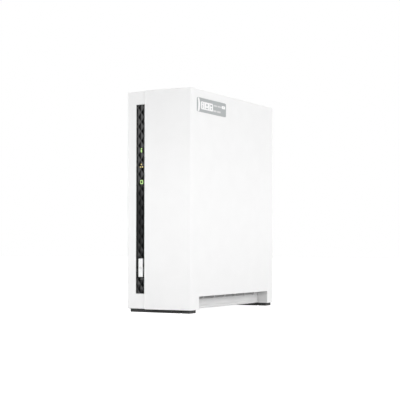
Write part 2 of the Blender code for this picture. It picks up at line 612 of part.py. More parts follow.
def make_cage():
    """Sheet-steel pan fixed to the floor; the carrier stands in it on the socket board."""
    pan = box((CAGE_LEFT_X, CAGE_FRONT_Y, CAGE_LOW), (CAGE_RIGHT_X, CAGE_BACK_Y, CAGE_HIGH))
    inside = box((CAGE_LEFT_X + SHEET, CAGE_FRONT_Y + SHEET, CAGE_LOW + SHEET),
                 (30, CAGE_BACK_Y - SHEET, CAGE_HIGH + 2))
    holes = round_holes(CAGE_LEFT_X, (-45, -14, 17), (45, 70, 95, 120, 145))
    holes.append(box((CAGE_LEFT_X - 1, -17, 18.5), (CAGE_LEFT_X + 2, -3, 23)))
    holes += [rod((x, y, 12), "Z", 5, SCREW_HOLE_RADIUS, 12) for x, y in CAGE_BOSSES]
    piece("drive_cage", pan, STEEL, cuts=[[inside], holes])
    piece("sata_board_frame", box((-7.5, -40, 15.8), (12, 20, 18.0)), BLACK,
          cuts=[[box((-5.5, -38, 15), (10, 18, 19))]])
    piece("sata_board", box((-7.5, -40, 18.3), (12, 20, 19.9)), GREEN_BOARD)
    piece("sata_socket", box((-4.2, -32, 20.2), (1.4, 12, 26.6)), BLACK,
          cuts=[[box((-2.4, -30, 22), (-0.4, 10, 28))]])
    piece("sata_ribbon", box((-18.4, -15, 20.3), (-4.6, -5, 21.1)), LABEL_PALE)


def tray_screw_places(side_y):
    return [(TRAY_SCREW_X, side_y, z) for z in TRAY_SCREW_Z]


def make_tray(carrier):
    """U-shaped carrier plate whose flanges hold the drive by its four side screws."""
    front, back = DRIVE_FRONT_Y - 1.6, DRIVE_BACK_Y + 1.6
    plate = box((TRAY_LEFT_X, front, 30), (TRAY_RIGHT_X, back, 172))
    inside = box((TRAY_LEFT_X + SHEET, front + SHEET, 20), (30, back - SHEET, 180))
    holes = round_holes(TRAY_LEFT_X, (-45, -14, 17), (58, 82, 106, 130, 154))
    holes += [rod((x, y, z), "Y", 4, SCREW_HOLE_RADIUS, 12)
              for x, y, z in tray_screw_places(front - 1) + tray_screw_places(back - 3)]
    piece("drive_tray", plate, STEEL, cuts=[[inside], holes], parent=carrier)
    screws("tray_front_screw", tray_screw_places(front - GAP), -1, 1.6, 2.8, 3.4, parent=carrier)
    screws("tray_rear_screw", tray_screw_places(back + GAP), 1, 1.6, 2.8, 3.4, parent=carrier)


def make_drive(carrier):
    """Cast tub, lid, circuit board, connector and label of the hard drive."""
    tub = box((TUB_LEFT_X, DRIVE_FRONT_Y, DRIVE_LOW), (TUB_RIGHT_X, DRIVE_BACK_Y, DRIVE_HIGH))
    hollow = box((TUB_FLOOR_X, DRIVE_FRONT_Y + TUB_WALL, DRIVE_LOW + TUB_WALL),
                 (30, DRIVE_BACK_Y - TUB_WALL, DRIVE_HIGH - TUB_WALL))
    bay = box((TUB_LEFT_X - 1, -32.3, 20), (2.0, 12.3, 34))
    sides = [rod(place, "Y", 4, SCREW_HOLE_RADIUS, 12)
             for place in tray_screw_places(DRIVE_FRONT_Y - 1) + tray_screw_places(DRIVE_BACK_Y - 3)]
    piece("drive_body", tub, CAST, edge=0.8, cuts=[[hollow], [bay], sides], parent=carrier)
    piece("drive_lid", box((TUB_RIGHT_X + GAP, -64.5, 27.3), (DRIVE_RIGHT_X, 36.5, 173.7)), STEEL,
          parent=carrier)
    piece("drive_board", box((DRIVE_LEFT_X, -60, 35), (TUB_LEFT_X - GAP, 32, 95)), GREEN_BOARD,
          parent=carrier)
    piece("sata_plug", box((-2.6, -32, 27.3), (1.7, 12, 33.7)), BLACK,
          fused=[box((-1.9, -29.5, 22.6), (-0.9, 9.5, 28))], parent=carrier)
    piece("drive_label", box((21.9, -50, 60), (22.1, 22, 150)), LABEL_PALE, parent=carrier)
    piece("magnet_yoke", box((4.2, 9, 31), (16.5, 30, 51.5)), STEEL, parent=carrier,
          cuts=[[box((6.2, 0, 33), (14.5, 40, 60))]])
    piece("arm_pivot_pin", rod((TUB_FLOOR_X + GAP, PIVOT_Y, PIVOT_Z), "X", 14.5, 2.0, 16), STEEL,
          parent=carrier)


def make_spindle(carrier):
    """Hub with its clamp, and the platter round it; both turn about the spindle axis."""
    axis = (PLATTER_X, SPINDLE_Y, SPINDLE_Z)
    hub = piece("spindle_hub", rod((3.4, SPINDLE_Y, SPINDLE_Z), "X", 9.0, HUB_RADIUS, 32), STEEL,
                fused=[rod((11.7, SPINDLE_Y, SPINDLE_Z), "X", 1.2, 15.0, 32)], origin=axis, parent=carrier)
    piece("platter", rod(axis, "X", PLATTER_THICKNESS, PLATTER_RADIUS, 64), POLISHED, origin=axis,
          cuts=[[rod((5, SPINDLE_Y, SPINDLE_Z), "X", 12, HUB_RADIUS + GAP, 32)]], parent=hub)


def make_head_arm(carrier):
    """Pivot barrel with two tapered arms on one side and the flat coil on the other."""
    place = Matrix.Translation((0, PIVOT_Y, PIVOT_Z)) @ Matrix.Rotation(ARM_PARKED, 4, "X")
    taper = [(3.0, -4.5), (ARM_LENGTH, -1.0), (ARM_LENGTH, 1.0), (3.0, 4.5)]
    arms = [moved(prism(taper, x, x + ARM_THICKNESS, "X"), place) for x in ARM_X]
    coil = [(-3.0, -4.0), (-3.0, 4.0), (-20.0, 8.0), (-20.0, -8.0)]
    barrel = rod((4.5, PIVOT_Y, PIVOT_Z), "X", 11.5, 6.0, 24)
    piece("head_arm", barrel, CAST, fused=arms + [moved(prism(coil, 9.3, 10.9, "X"), place)],
          cuts=[[rod((0, PIVOT_Y, PIVOT_Z), "X", 20, 2.4, 16)]],
          origin=(10.0, PIVOT_Y, PIVOT_Z), parent=carrier)


def make_carrier():
    """Empty on the lift axis; everything that leaves with the drive hangs from it."""
    carrier = bpy.data.objects.new("drive_carrier", None)
    carrier.location = Vector((8.5, (DRIVE_FRONT_Y + DRIVE_BACK_Y) / 2, DRIVE_LOW)) * MM
    PARTS.objects.link(carrier)
    bpy.context.view_layer.update()
    make_tray(carrier)
    make_drive(carrier)
    make_spindle(carrier)
    make_head_arm(carrier)


make_base_shell()
SIDE_COVER = make_side_cover()
make_cover_fittings(SIDE_COVER)
make_feet(SIDE_COVER)
make_trim_strip()
make_light_guides()
make_power_button()
make_front_board()
make_main_board()
make_connectors()
make_rear_panel()
make_fan()
make_fan_cable()
make_cage()
make_carrier()
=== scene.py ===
"""Looks of a single-bay network storage tower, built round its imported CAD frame.

Shapes are drawn in millimetres and turned into metres when their mesh is made.
+X is the right-hand side as seen from the front, the front faces -Y, and +Z is up.
"""

import math
import random

import bmesh
import bpy
from mathutils import Matrix, Vector


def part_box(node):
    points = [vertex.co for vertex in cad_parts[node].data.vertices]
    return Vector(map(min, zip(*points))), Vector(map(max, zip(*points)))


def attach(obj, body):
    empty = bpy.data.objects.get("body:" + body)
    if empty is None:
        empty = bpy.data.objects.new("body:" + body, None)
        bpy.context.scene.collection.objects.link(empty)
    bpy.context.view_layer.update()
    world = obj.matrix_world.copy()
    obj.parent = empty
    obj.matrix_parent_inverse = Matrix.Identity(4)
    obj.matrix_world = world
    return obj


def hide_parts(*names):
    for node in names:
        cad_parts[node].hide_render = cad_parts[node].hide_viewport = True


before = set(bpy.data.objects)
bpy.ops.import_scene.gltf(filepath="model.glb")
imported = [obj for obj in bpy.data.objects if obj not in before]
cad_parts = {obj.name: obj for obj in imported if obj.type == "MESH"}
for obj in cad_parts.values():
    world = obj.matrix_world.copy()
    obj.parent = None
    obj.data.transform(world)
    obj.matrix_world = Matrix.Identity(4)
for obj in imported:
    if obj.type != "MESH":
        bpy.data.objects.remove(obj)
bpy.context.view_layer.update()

MM = 0.001
GAP = 0.3


def span(node):
    """Lowest and highest corner of a CAD node, in millimetres."""
    low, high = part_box(node)
    return low / MM, high / MM


COVER_LOW, COVER_HIGH = span("side_cover")
SHELL_LOW, SHELL_HIGH = span("base_shell")
PANEL_LOW, PANEL_HIGH = span("rear_panel")
STRIP_LOW, STRIP_HIGH = span("trim_strip")
BUTTON_LOW, BUTTON_HIGH = span("power_button")
LABEL_LOW, LABEL_HIGH = span("side_label")
BOARD_HIGH = span("main_board")[1]
FRAME_LOW, FRAME_HIGH = span("fan_frame")
LID_LOW, LID_HIGH = span("drive_lid")

# Shells: the CAD's own walls, with finer corners
WALL = 2.2
CORNER = 1.8
EDGE = 0.6
LIP_X, LIP_BACK = -13.3, -76.32            # the cover's proud front laps over the seam
LIP_ROUND = (3.2, 1.7)                     # its edge is an ellipse, across and back
INNER_X = COVER_HIGH.x - WALL
INNER_TOP = COVER_HIGH.z - WALL
FLOOR_TOP = COVER_LOW.z + WALL
HOUSING_FRONT = -76.2
FRONT_WALL = 3.5
CROWN_CENTRE, CROWN_RADIUS = -5.0, 225.0
NOTCH_FRONT, NOTCH_REAR, NOTCH_TOP, NOTCH_WALL = -61.7, 65.2, 13.9, 2.0
SKIRT_X, SKIRT_TOP = 22.0, 15.6
PANEL_RIGHT = 22.0
SLOT_PITCH, SLOT_COUNT, SLOT_LENGTH = 19.0, 6, 17.6
SLOT_LOW, SLOT_HIGH = 10.9, 13.5
FILTER_LOW, FILTER_HIGH = 9.6, 14.2
COVER_SCREW_X, COVER_SCREW_Z = 26.7, (34.0, 116.0)
RIM_X, GROOVE_X = 21.4, 20.7                       # skirt faces above and inside its fine line
RIB, RIB_DEPTH = 1.1, 1.1

# Places that several parts share
BOARD_SCREWS = [(-60.0, 26.0), (-60.0, 112.0), (50.0, 26.0), (50.0, 112.0)]
FRONT_SCREWS = [(-26.0, 30.0), (-26.0, 144.0)]
CAGE_SCREWS = [(-4.0, -58.0), (15.0, -58.0), (-4.0, 32.0), (15.0, 32.0)]
SCREW_HOLE = 1.3

# Front
INDICATOR_X = -17.25
STATUS_BAR, STATUS_DOT_Z = (136.2, 138.6), 139.4
NETWORK_DOTS = ((-17.2, 125.85), (-18.2, 123.75), (-16.15, 123.75))
DRIVE_X, DRIVE_Z = -17.0, 110.82
DIAMOND_X, DIAMOND_Z = 3.0, 4.09          # half width and half height of one facet diamond
DIAMOND_START = (-20.69, 170.75)
DIAMOND_DEPTH = 0.72

# Rear
JACK_Z, USB_Z, POWER_Z = 46.0, (67.25, 87.25), 28.75
RESET_X, RESET_Z = -21.9, 101.5
LOCK_X, LOCK_Z = 14.0, 64.0
PORT_LEFT = -24.7
FAN_X, FAN_Y, FAN_Z = -3.6, 68.6, 152.0
FAN_BORE, FAN_HOLE, GRILLE_RADIUS, GRILLE_PITCH = 23.0, 20.0, 22.0, 5.4

# Drive
SPINDLE = Vector((9.7, -14.0, 122.5))
PIVOT = Vector((10.0, 6.0, 58.0))
ARM_PARKED = math.radians(154.2)

TOWARDS = {
    "X": Matrix.Rotation(math.pi / 2, 4, "Y"),
    "Y": Matrix.Rotation(-math.pi / 2, 4, "X"),
    "-Y": Matrix.Rotation(math.pi / 2, 4, "X"),
    "Z": Matrix.Identity(4),
}
random.seed(8)


# ---------------------------------------------------------------- shapes
# A shape is a function that adds one closed solid to a bmesh and returns its vertices.

def box(low, high):
    size = Vector(high) - Vector(low)
    matrix = Matrix.Translation((Vector(low) + Vector(high)) / 2) @ Matrix.Diagonal((*size, 1.0))
    return lambda bm: bmesh.ops.create_cube(bm, size=1.0, matrix=matrix)["verts"]


def rod(start, direction, length, radius, segments=32, end_radius=None):
    """A cylinder or cone from the centre of its first end, along one axis."""
    turn = TOWARDS[direction]
    middle = Vector(start) + turn @ Vector((0.0, 0.0, length / 2))
    far = radius if end_radius is None else end_radius
    return lambda bm: bmesh.ops.create_cone(
        bm, cap_ends=True, segments=segments, radius1=radius, radius2=far,
        depth=length, matrix=Matrix.Translation(middle) @ turn)["verts"]


def prism(outline, low, high, direction="Z"):
    """A closed outline pushed from low to high: drawn on XY for Z, on YZ for X and on XZ for Y."""
    swing = {"Z": lambda a, b, c: (a, b, c), "X": lambda a, b, c: (c, a, b),
             "Y": lambda a, b, c: (a, c, b)}[direction]

    def build(bm):
        rings = [[bm.verts.new(swing(a, b, c)) for a, b in outline] for c in (low, high)]
        count = len(outline)
        for i in range(count):
            j = (i + 1) % count
            bm.faces.new((rings[0][i], rings[0][j], rings[1][j], rings[1][i]))
        bm.faces.new(rings[0])
        bm.faces.new(rings[1])
        return rings[0] + rings[1]
    return build


def turned(profile, start, direction, segments=48):
    """A lathe solid from (radius, distance) pairs whose first and last radius are 0."""
    matrix = Matrix.Translation(start) @ TOWARDS[direction]

    def build(bm):
        ends = [bm.verts.new((0, 0, profile[0][1])), bm.verts.new((0, 0, profile[-1][1]))]
        rings = []
        for radius, along in profile[1:-1]:
            rings.append([bm.verts.new((radius * math.cos(2 * math.pi * i / segments),
                                        radius * math.sin(2 * math.pi * i / segments), along))
                          for i in range(segments)])
        for i in range(segments):
            j = (i + 1) % segments
            bm.faces.new((ends[0], rings[0][i], rings[0][j]))
            for near, far in zip(rings, rings[1:]):
                bm.faces.new((near[i], far[i], far[j], near[j]))
            bm.faces.new((ends[1], rings[-1][j], rings[-1][i]))
        added = ends + [v for ring in rings for v in ring]
        bmesh.ops.transform(bm, verts=added, matrix=matrix)
        return added
    return build


def moved(shape, matrix):
    def build(bm):
        added = shape(bm)
        bmesh.ops.transform(bm, verts=added, matrix=matrix)
        return added
    return build


def arc(centre, radius, start, end, steps):
    return [(centre[0] + radius * math.cos(math.radians(start + (end - start) * i / steps)),
             centre[1] + radius * math.sin(math.radians(start + (end - start) * i / steps)))
            for i in range(steps + 1)]


def rounded(left, right, low, high, radius, steps=6):
    """Outline of a rectangle with round corners."""
    return (arc((right - radius, high - radius), radius, 0, 90, steps)
            + arc((left + radius, high - radius), radius, 90, 180, steps)
            + arc((left + radius, low + radius), radius, 180, 270, steps)
            + arc((right - radius, low + radius), radius, 270, 360, steps))


def shift(vector):
    return Matrix.Translation(vector)


def new_object(name, shapes):
    bm = bmesh.new()
    for shape in shapes:
        shape(bm)
    bmesh.ops.scale(bm, verts=bm.verts, vec=(MM, MM, MM))
    bmesh.ops.recalc_face_normals(bm, faces=bm.faces)
    mesh = bpy.data.meshes.new(name)
    bm.to_mesh(mesh)
    bm.free()
    made = bpy.data.objects.new(name, mesh)
    bpy.context.scene.collection.objects.link(made)
    return made


def settle(made):
    """Applies the modifiers to the mesh."""
    graph = bpy.context.evaluated_depsgraph_get()
    mesh = bpy.data.meshes.new_from_object(made.evaluated_get(graph))
    made.modifiers.clear()
    made.data = mesh


def combine(made, shapes, operation="DIFFERENCE"):
    cutter = new_object("cutter", shapes)
    step = made.modifiers.new(operation, "BOOLEAN")
    step.operation = operation
    step.solver = "EXACT"
    step.object = cutter
    settle(made)
    bpy.data.objects.remove(cutter)
    if not made.data.polygons:
        raise RuntimeError(made.name + " was cut away")


def soften(made, width, segments=3, angle=50):
    """Rounds the sharp edges and keeps the flat faces flat."""
    bevel = made.modifiers.new("edges", "BEVEL")
    bevel.width = width * MM
    bevel.segments = segments
    bevel.limit_method = "ANGLE"
    bevel.angle_limit = math.radians(angle)


def piece(name, shapes, material, body, stands_for=(), edge=0.0, cuts=(), joined=(), late_edge=0.0,
          segments=3, smooth=40):
    """One visible piece: shapes, rounded, joined and cut in that order, then given its finish and body."""
    made = new_object(name, shapes)
    if edge:
        soften(made, edge, segments)
    for group in joined:
        combine(made, group, "UNION")
    for group in cuts:
        combine(made, group)
    if late_edge:
        soften(made, late_edge, 2, 60)
    return dress(made, material, body, stands_for, smooth)


def dress(made, material, body, stands_for=(), smooth=40):
    made.data.shade_smooth()
    made.data.set_sharp_from_angle(angle=math.radians(smooth))
    made.modifiers.new("flat_faces", "WEIGHTED_NORMAL").keep_sharp = True
    settle(made)
    made.data.materials.clear()
    made.data.materials.append(material)
    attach(made, body)
    if stands_for:
        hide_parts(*stands_for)
    return made


def wire(name, points, radius, material, body, stands_for=()):
    """A round wire along a smooth curve through points in millimetres."""
    curve = bpy.data.curves.new(name, "CURVE")
    curve.dimensions = "3D"
    curve.bevel_depth = radius * MM
    curve.bevel_resolution = 4
    curve.use_fill_caps = True
    spline = curve.splines.new("BEZIER")
    spline.bezier_points.add(len(points) - 1)
    for knot, place in zip(spline.bezier_points, points):
        knot.co = Vector(place) * MM
        knot.handle_left_type = knot.handle_right_type = "AUTO"
    made = bpy.data.objects.new(name, curve)
    bpy.context.scene.collection.objects.link(made)
    made.data.materials.append(material)
    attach(made, body)
    if stands_for:
        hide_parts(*stands_for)
    return made


# ---------------------------------------------------------------- materials


def add(tree, kind, settings=None, inputs=None):
    made = tree.nodes.new("ShaderNode" + kind)
    for name, value in (settings or {}).items():
        setattr(made, name, value)
    for name, value in (inputs or {}).items():
        if isinstance(value, bpy.types.NodeSocket):
            tree.links.new(value, made.inputs[name])
        else:
            made.inputs[name].default_value = value
    return made


def place(tree, stretch=(1.0, 1.0, 1.0)):
    spot = add(tree, "TexCoord")
    return add(tree, "Mapping", inputs={"Vector": spot.outputs["Object"], "Scale": stretch}).outputs[0]


def noise(tree, size, stretch=(1.0, 1.0, 1.0), detail=3.0):
    """Noise whose features are about size millimetres across."""
    return add(tree, "TexNoise", inputs={"Vector": place(tree, stretch), "Scale": 1000 / size,
                                         "Detail": detail}).outputs["Fac"]


def ramp(tree, factor, stops, interpolation="LINEAR"):
    made = add(tree, "ValToRGB", inputs={"Fac": factor})
    made.color_ramp.interpolation = interpolation
    while len(made.color_ramp.elements) < len(stops):
        made.color_ramp.elements.new(0.5)
    for element, (position, colour) in zip(made.color_ramp.elements, stops):
        element.position = position
        element.color = (*colour, 1.0)
    return made.outputs["Color"]


def mixed(tree, factor, first, second):
    made = add(tree, "Mix", {"data_type": "RGBA"})
    for socket, value in ((made.inputs["Factor"], factor), (made.inputs[6], first), (made.inputs[7], second)):
        if isinstance(value, bpy.types.NodeSocket):
            tree.links.new(value, socket)
        elif socket.type == "RGBA":
            socket.default_value = (*value, 1.0)
        else:
            socket.default_value = value
    return made.outputs[2]


def finish(name, dark, light, rough, grain, depth, metallic=0.0, patch=14.0,
           stretch=(1.0, 1.0, 1.0), more=None):
    """Principled material: noise of patch size moves the colour between dark and light and the
    roughness over its range, and noise of grain size gives a relief of that depth, all in millimetres."""
    made = bpy.data.materials.new(name)
    made.use_nodes = True
    tree = made.node_tree
    shader = tree.nodes["Principled BSDF"]
    shader.inputs["Metallic"].default_value = metallic
    for socket, value in (more or {}).items():
        shader.inputs[socket].default_value = value
    broad = noise(tree, patch)
    tree.links.new(ramp(tree, broad, [(0.3, dark), (0.7, light)]), shader.inputs["Base Color"])
    fine = noise(tree, grain, stretch)
    level = add(tree, "MapRange", inputs={"Value": fine, "From Min": 0.3, "From Max": 0.7,
                                          "To Min": rough[0], "To Max": rough[1]})
    tree.links.new(level.outputs[0], shader.inputs["Roughness"])
    relief = add(tree, "Bump", inputs={"Height": fine, "Distance": depth * MM, "Strength": 1.0})
    tree.links.new(relief.outputs[0], shader.inputs["Normal"])
    return made


def recolour(made, change):
    """Passes the material's base colour through change(tree, colour)."""
    tree = made.node_tree
    socket = tree.nodes["Principled BSDF"].inputs["Base Color"]
    before = socket.links[0].from_socket
    tree.links.new(change(tree, before), socket)
    return made


def grey(value):
    return (value, value, value)


WHITE = finish("white_plastic", grey(0.822), grey(0.838), (0.42, 0.52), 0.35, 0.004)
WHITE_INNER = finish("white_plastic_inside", grey(0.76), grey(0.79), (0.5, 0.62), 0.6, 0.01)
CAP_WHITE = finish("white_button_plastic", grey(0.85), grey(0.87), (0.3, 0.38), 0.3, 0.002)
DARK_GLOSS = finish("dark_facet_plastic", (0.003, 0.003, 0.0033),
                    (0.0045, 0.0045, 0.005), (0.13, 0.17), 0.8, 0.0006)
GREEN_LIGHT = finish("green_light_guide", (0.28, 0.42, 0.15), (0.32, 0.47, 0.17),
                     (0.3, 0.4), 0.3, 0.002,
                     more={"Emission Color": (0.62, 0.95, 0.35, 1.0), "Emission Strength": 0.55})
AMBER_LIGHT = finish("amber_light_guide", (0.42, 0.33, 0.12), (0.47, 0.37, 0.14),
                     (0.3, 0.4), 0.3, 0.002,
                     more={"Emission Color": (0.92, 0.72, 0.26, 1.0), "Emission Strength": 0.8})
RUBBER = finish("grey_rubber", grey(0.042), grey(0.05), (0.5, 0.65), 0.5, 0.02)
FILTER = finish("grey_filter", grey(0.6), grey(0.68), (0.6, 0.75), 0.3, 0.01)
LABEL = finish("grey_label_film", (0.382, 0.399, 0.406), (0.395, 0.412, 0.418), (0.38, 0.46),
               0.5, 0.001)
LABEL_WHITE = finish("white_label_ink", grey(0.84), grey(0.87), (0.36, 0.42), 0.5, 0.001)
LABEL_PALE = finish("pale_label_ink", grey(0.60), grey(0.63), (0.36, 0.42), 0.5, 0.001)
PAPER = finish("paper_label", grey(0.74), grey(0.78), (0.5, 0.6), 0.4, 0.003)
CHIP = finish("black_package", grey(0.022), grey(0.032), (0.5, 0.68), 0.25, 0.006)
BLACK = finish("black_plastic", grey(0.014), grey(0.022), (0.36, 0.52), 0.4, 0.008)
JACKET = finish("cable_jacket", grey(0.014), grey(0.02), (0.45, 0.6), 0.5, 0.006)
RED_JACKET = finish("red_jacket", (0.42, 0.02, 0.015), (0.5, 0.03, 0.02), (0.4, 0.5),
                    0.5, 0.004)
YELLOW_JACKET = finish("yellow_jacket", (0.7, 0.5, 0.03), (0.78, 0.56, 0.05), (0.4, 0.5),
                       0.5, 0.004)
STEEL = finish("zinc_steel", (0.52, 0.53, 0.55), (0.64, 0.65, 0.66), (0.26, 0.42), 1.4, 0.004,
               metallic=1.0, patch=6.0, stretch=(1.0, 0.12, 1.0))
SCREW_STEEL = finish("screw_steel", (0.42, 0.43, 0.45), (0.56, 0.57, 0.59), (0.24, 0.4),
                     0.5, 0.004, metallic=1.0, patch=2.0)
DARK_SCREW = finish("black_screw_steel", (0.05, 0.05, 0.055), (0.08, 0.08, 0.085), (0.3, 0.45),
                    0.5, 0.004, metallic=1.0, patch=2.0)
CAST = finish("cast_aluminium", (0.40, 0.41, 0.42), (0.52, 0.53, 0.54), (0.42, 0.6), 0.7, 0.03,
              metallic=1.0, patch=5.0)
ANODISED = finish("anodised_sink", (0.30, 0.31, 0.33), (0.38, 0.39, 0.41), (0.35, 0.5),
                  0.5, 0.006, metallic=1.0, stretch=(1.0, 1.0, 0.1))
MIRROR = finish("platter_mirror", (0.80, 0.80, 0.82), (0.84, 0.84, 0.86), (0.04, 0.07), 9.0,
                0.0004, metallic=1.0, patch=30.0)
GOLD = finish("gold_contact", (0.83, 0.60, 0.22), (0.92, 0.70, 0.30), (0.18, 0.3), 0.4, 0.002,
              metallic=1.0, patch=2.0)
COPPER = finish("copper_coil", (0.62, 0.27, 0.12), (0.78, 0.38, 0.18), (0.25, 0.4), 0.35, 0.02,
                metallic=1.0, patch=2.0, stretch=(1.0, 1.0, 6.0))
CERAMIC = finish("ceramic_tan", (0.34, 0.22, 0.13), (0.44, 0.30, 0.18), (0.4, 0.55),
                 0.3, 0.004, patch=2.0)
RIBBON = finish("ribbon_film", grey(0.66), grey(0.72), (0.35, 0.5), 0.4, 0.002)
USB_BLUE = finish("blue_insert", (0.01, 0.07, 0.30), (0.015, 0.09, 0.36), (0.35, 0.5),
                  0.4, 0.004)


def lines(tree, colour):
    """Fine grey conductors along the ribbon cable."""
    spot = add(tree, "SeparateXYZ", inputs={"Vector": place(tree, (1000 / 1.27,) * 3)})
    wave = add(tree, "Math", {"operation": "FRACT"}, {0: spot.outputs["Y"]})
    edge = add(tree, "Math", {"operation": "LESS_THAN"}, {0: wave.outputs[0], 1: 0.28})
    return mixed(tree, edge.outputs[0], colour, grey(0.42))


def board_face(tree, across):
    """The board's own plane as a flat texture place: YZ for the main boards, XZ for the front one."""
    spot = add(tree, "SeparateXYZ", inputs={"Vector": place(tree)})
    axes = {"X": ("Y", "Z"), "Y": ("X", "Z"), "Z": ("Y", "X")}[across]
    return add(tree, "CombineXYZ", inputs={"X": spot.outputs[axes[0]], "Y": spot.outputs[axes[1]]}).outputs[0]


def circuit(name, across):
    """Green solder resist with copper tracks showing through and small tinned vias."""
    made = finish(name, (0.006, 0.075, 0.030), (0.012, 0.10, 0.042), (0.24, 0.4), 0.6, 0.002)

    def tracks(tree, colour):
        flat = board_face(tree, across)
        wander = add(tree, "TexNoise", inputs={"Vector": flat, "Scale": 90.0, "Detail": 1.0})
        bricks = add(tree, "TexBrick", {"offset": 0.5, "squash": 1.6, "squash_frequency": 3},
                     {"Vector": flat, "Scale": 160.0, "Mortar Size": 0.035, "Mortar Smooth": 0.1,
                      "Brick Width": 1.3, "Row Height": 0.24})
        here = add(tree, "Math", {"operation": "GREATER_THAN"}, {0: wander.outputs["Fac"], 1: 0.47})
        drawn = add(tree, "Math", {"operation": "MULTIPLY"}, {0: bricks.outputs["Fac"], 1: here.outputs[0]})
        traced = mixed(tree, drawn.outputs[0], colour, (0.03, 0.21, 0.08))
        cells = add(tree, "TexVoronoi", inputs={"Vector": flat, "Scale": 330.0, "Randomness": 0.85})
        via = add(tree, "Math", {"operation": "LESS_THAN"}, {0: cells.outputs["Distance"], 1: 0.11})
        return mixed(tree, via.outputs[0], traced, (0.55, 0.53, 0.45))
    return recolour(made, tracks)


recolour(RIBBON, lines)
BOARD = circuit("solder_resist", "X")
FRONT_BOARD = circuit("front_solder_resist", "Y")
FLAT_BOARD = circuit("socket_solder_resist", "Z")


# ---------------------------------------------------------------- shells

def crown_y(x, inset=0.0):
    """Front face of the cover: a shallow arc that is furthest forward near the seam."""
    return inset + COVER_LOW.y + (x - CROWN_CENTRE) ** 2 / (2 * CROWN_RADIUS)


def cover_outline(left, right, rear, inset, corner, lip=False, steps=28):
    """Plan of the cover or its hollow; with the lip its front ends in an elliptical edge over the seam."""
    across, back = LIP_ROUND
    first, last = (LIP_X + across if lip else left), right - corner
    front = [(first + (last - first) * i / steps, crown_y(first + (last - first) * i / steps, inset))
             for i in range(steps + 1)]
    seam = []
    if lip:
        turns = [math.radians(6 * i) for i in range(15)]
        seam = [(left, LIP_BACK), (LIP_X, LIP_BACK)]
        seam += [(first - across * math.cos(t), crown_y(first) + back * (1 - math.sin(t))) for t in turns]
    return (seam + front + arc((last, crown_y(last, inset) + corner), corner, -82, 0, 10)
            + arc((last, rear - corner), corner, 0, 90, 8) + [(left, rear)])


def notch_keep(inner_x, side):
    ends = sorted((side * inner_x, side * 40.0))
    return box((ends[0], NOTCH_FRONT - NOTCH_WALL, -1),
               (ends[1], NOTCH_REAR + NOTCH_WALL, NOTCH_TOP + NOTCH_WALL))


def notch_cut(inner_x, side):
    ends = sorted((side * inner_x, side * 40.0))
    return prism([(NOTCH_FRONT, -1), (NOTCH_REAR, -1)]
                 + arc((NOTCH_REAR - 0.8, NOTCH_TOP - 0.8), 0.8, 0, 90, 4)
                 + arc((NOTCH_FRONT + 0.8, NOTCH_TOP - 0.8), 0.8, 90, 180, 4), ends[0], ends[1], "X")


def intake_slots():
    first = (NOTCH_FRONT + NOTCH_REAR - SLOT_PITCH * (SLOT_COUNT - 1)) / 2
    slots = []
    for i in range(SLOT_COUNT):
        middle = first + SLOT_PITCH * i
        outline = rounded(middle - SLOT_LENGTH / 2, middle + SLOT_LENGTH / 2, SLOT_LOW, SLOT_HIGH, 0.6, 3)
        slots.append(prism(outline, -SKIRT_X - 1, SKIRT_X + 1, "X"))
    return slots


def make_cover():
    """Right shell: crowned front, side, top strip and rear strip, ribbed inside, notched below."""
    outline = cover_outline(COVER_LOW.x, COVER_HIGH.x, COVER_HIGH.y, 0.0, CORNER, lip=True)
    inner = cover_outline(COVER_LOW.x - 5, INNER_X, COVER_HIGH.y - WALL, WALL, 0.6, steps=14)
    hollow = new_object("hollow", [prism(inner, FLOOR_TOP, INNER_TOP)])
    combine(hollow, [notch_keep(SKIRT_X + GAP, 1)])
    upright = [box((INNER_X - RIB_DEPTH, y, 20), (INNER_X + 1, y + RIB, INNER_TOP + 1))
               for y in range(-66, 67, 22)]
    level = [box((INNER_X - RIB_DEPTH, -77, z), (INNER_X + 1, 77, z + RIB)) for z in (60, 108, 156)]
    combine(hollow, upright)
    combine(hollow, level)
    made = new_object("side_cover_shell", [prism(outline, COVER_LOW.z, COVER_HIGH.z)])
    soften(made, EDGE, 4)
    step = made.modifiers.new("hollow", "BOOLEAN")
    step.solver = "EXACT"
    step.object = hollow
    settle(made)
    bpy.data.objects.remove(hollow)
    inner_edge = PANEL_RIGHT + GAP
    combine(made, [notch_cut(SKIRT_X - 2, 1)])
    combine(made, [box((COVER_LOW.x - 5, -72.9, 0), (inner_edge, 74, FLOOR_TOP + 0.1)),
                   box((COVER_LOW.x - 5, 75, 0), (inner_edge, 80, INNER_TOP))])
    pocket = rounded(LABEL_LOW.y - GAP, LABEL_HIGH.y + GAP, LABEL_LOW.z - GAP, LABEL_HIGH.z + GAP, 1.8)
    combine(made, [box((COVER_LOW.x - 5, 73.5, 0), (inner_edge, 75.5, FLOOR_TOP + 0.1)),
                   prism(pocket, LABEL_LOW.x - 0.02, 33, "X")])
    combine(made, [rod((COVER_SCREW_X, 70, z), "Y", 12, 1.8) for z in COVER_SCREW_Z])
    combine(made, [rod((COVER_SCREW_X, 76.95, z), "Y", 1.32, 3.2, end_radius=3.6) for z in COVER_SCREW_Z])
    soften(made, 0.22, 2, 62)
    dress(made, WHITE, "cover", ["side_cover"])


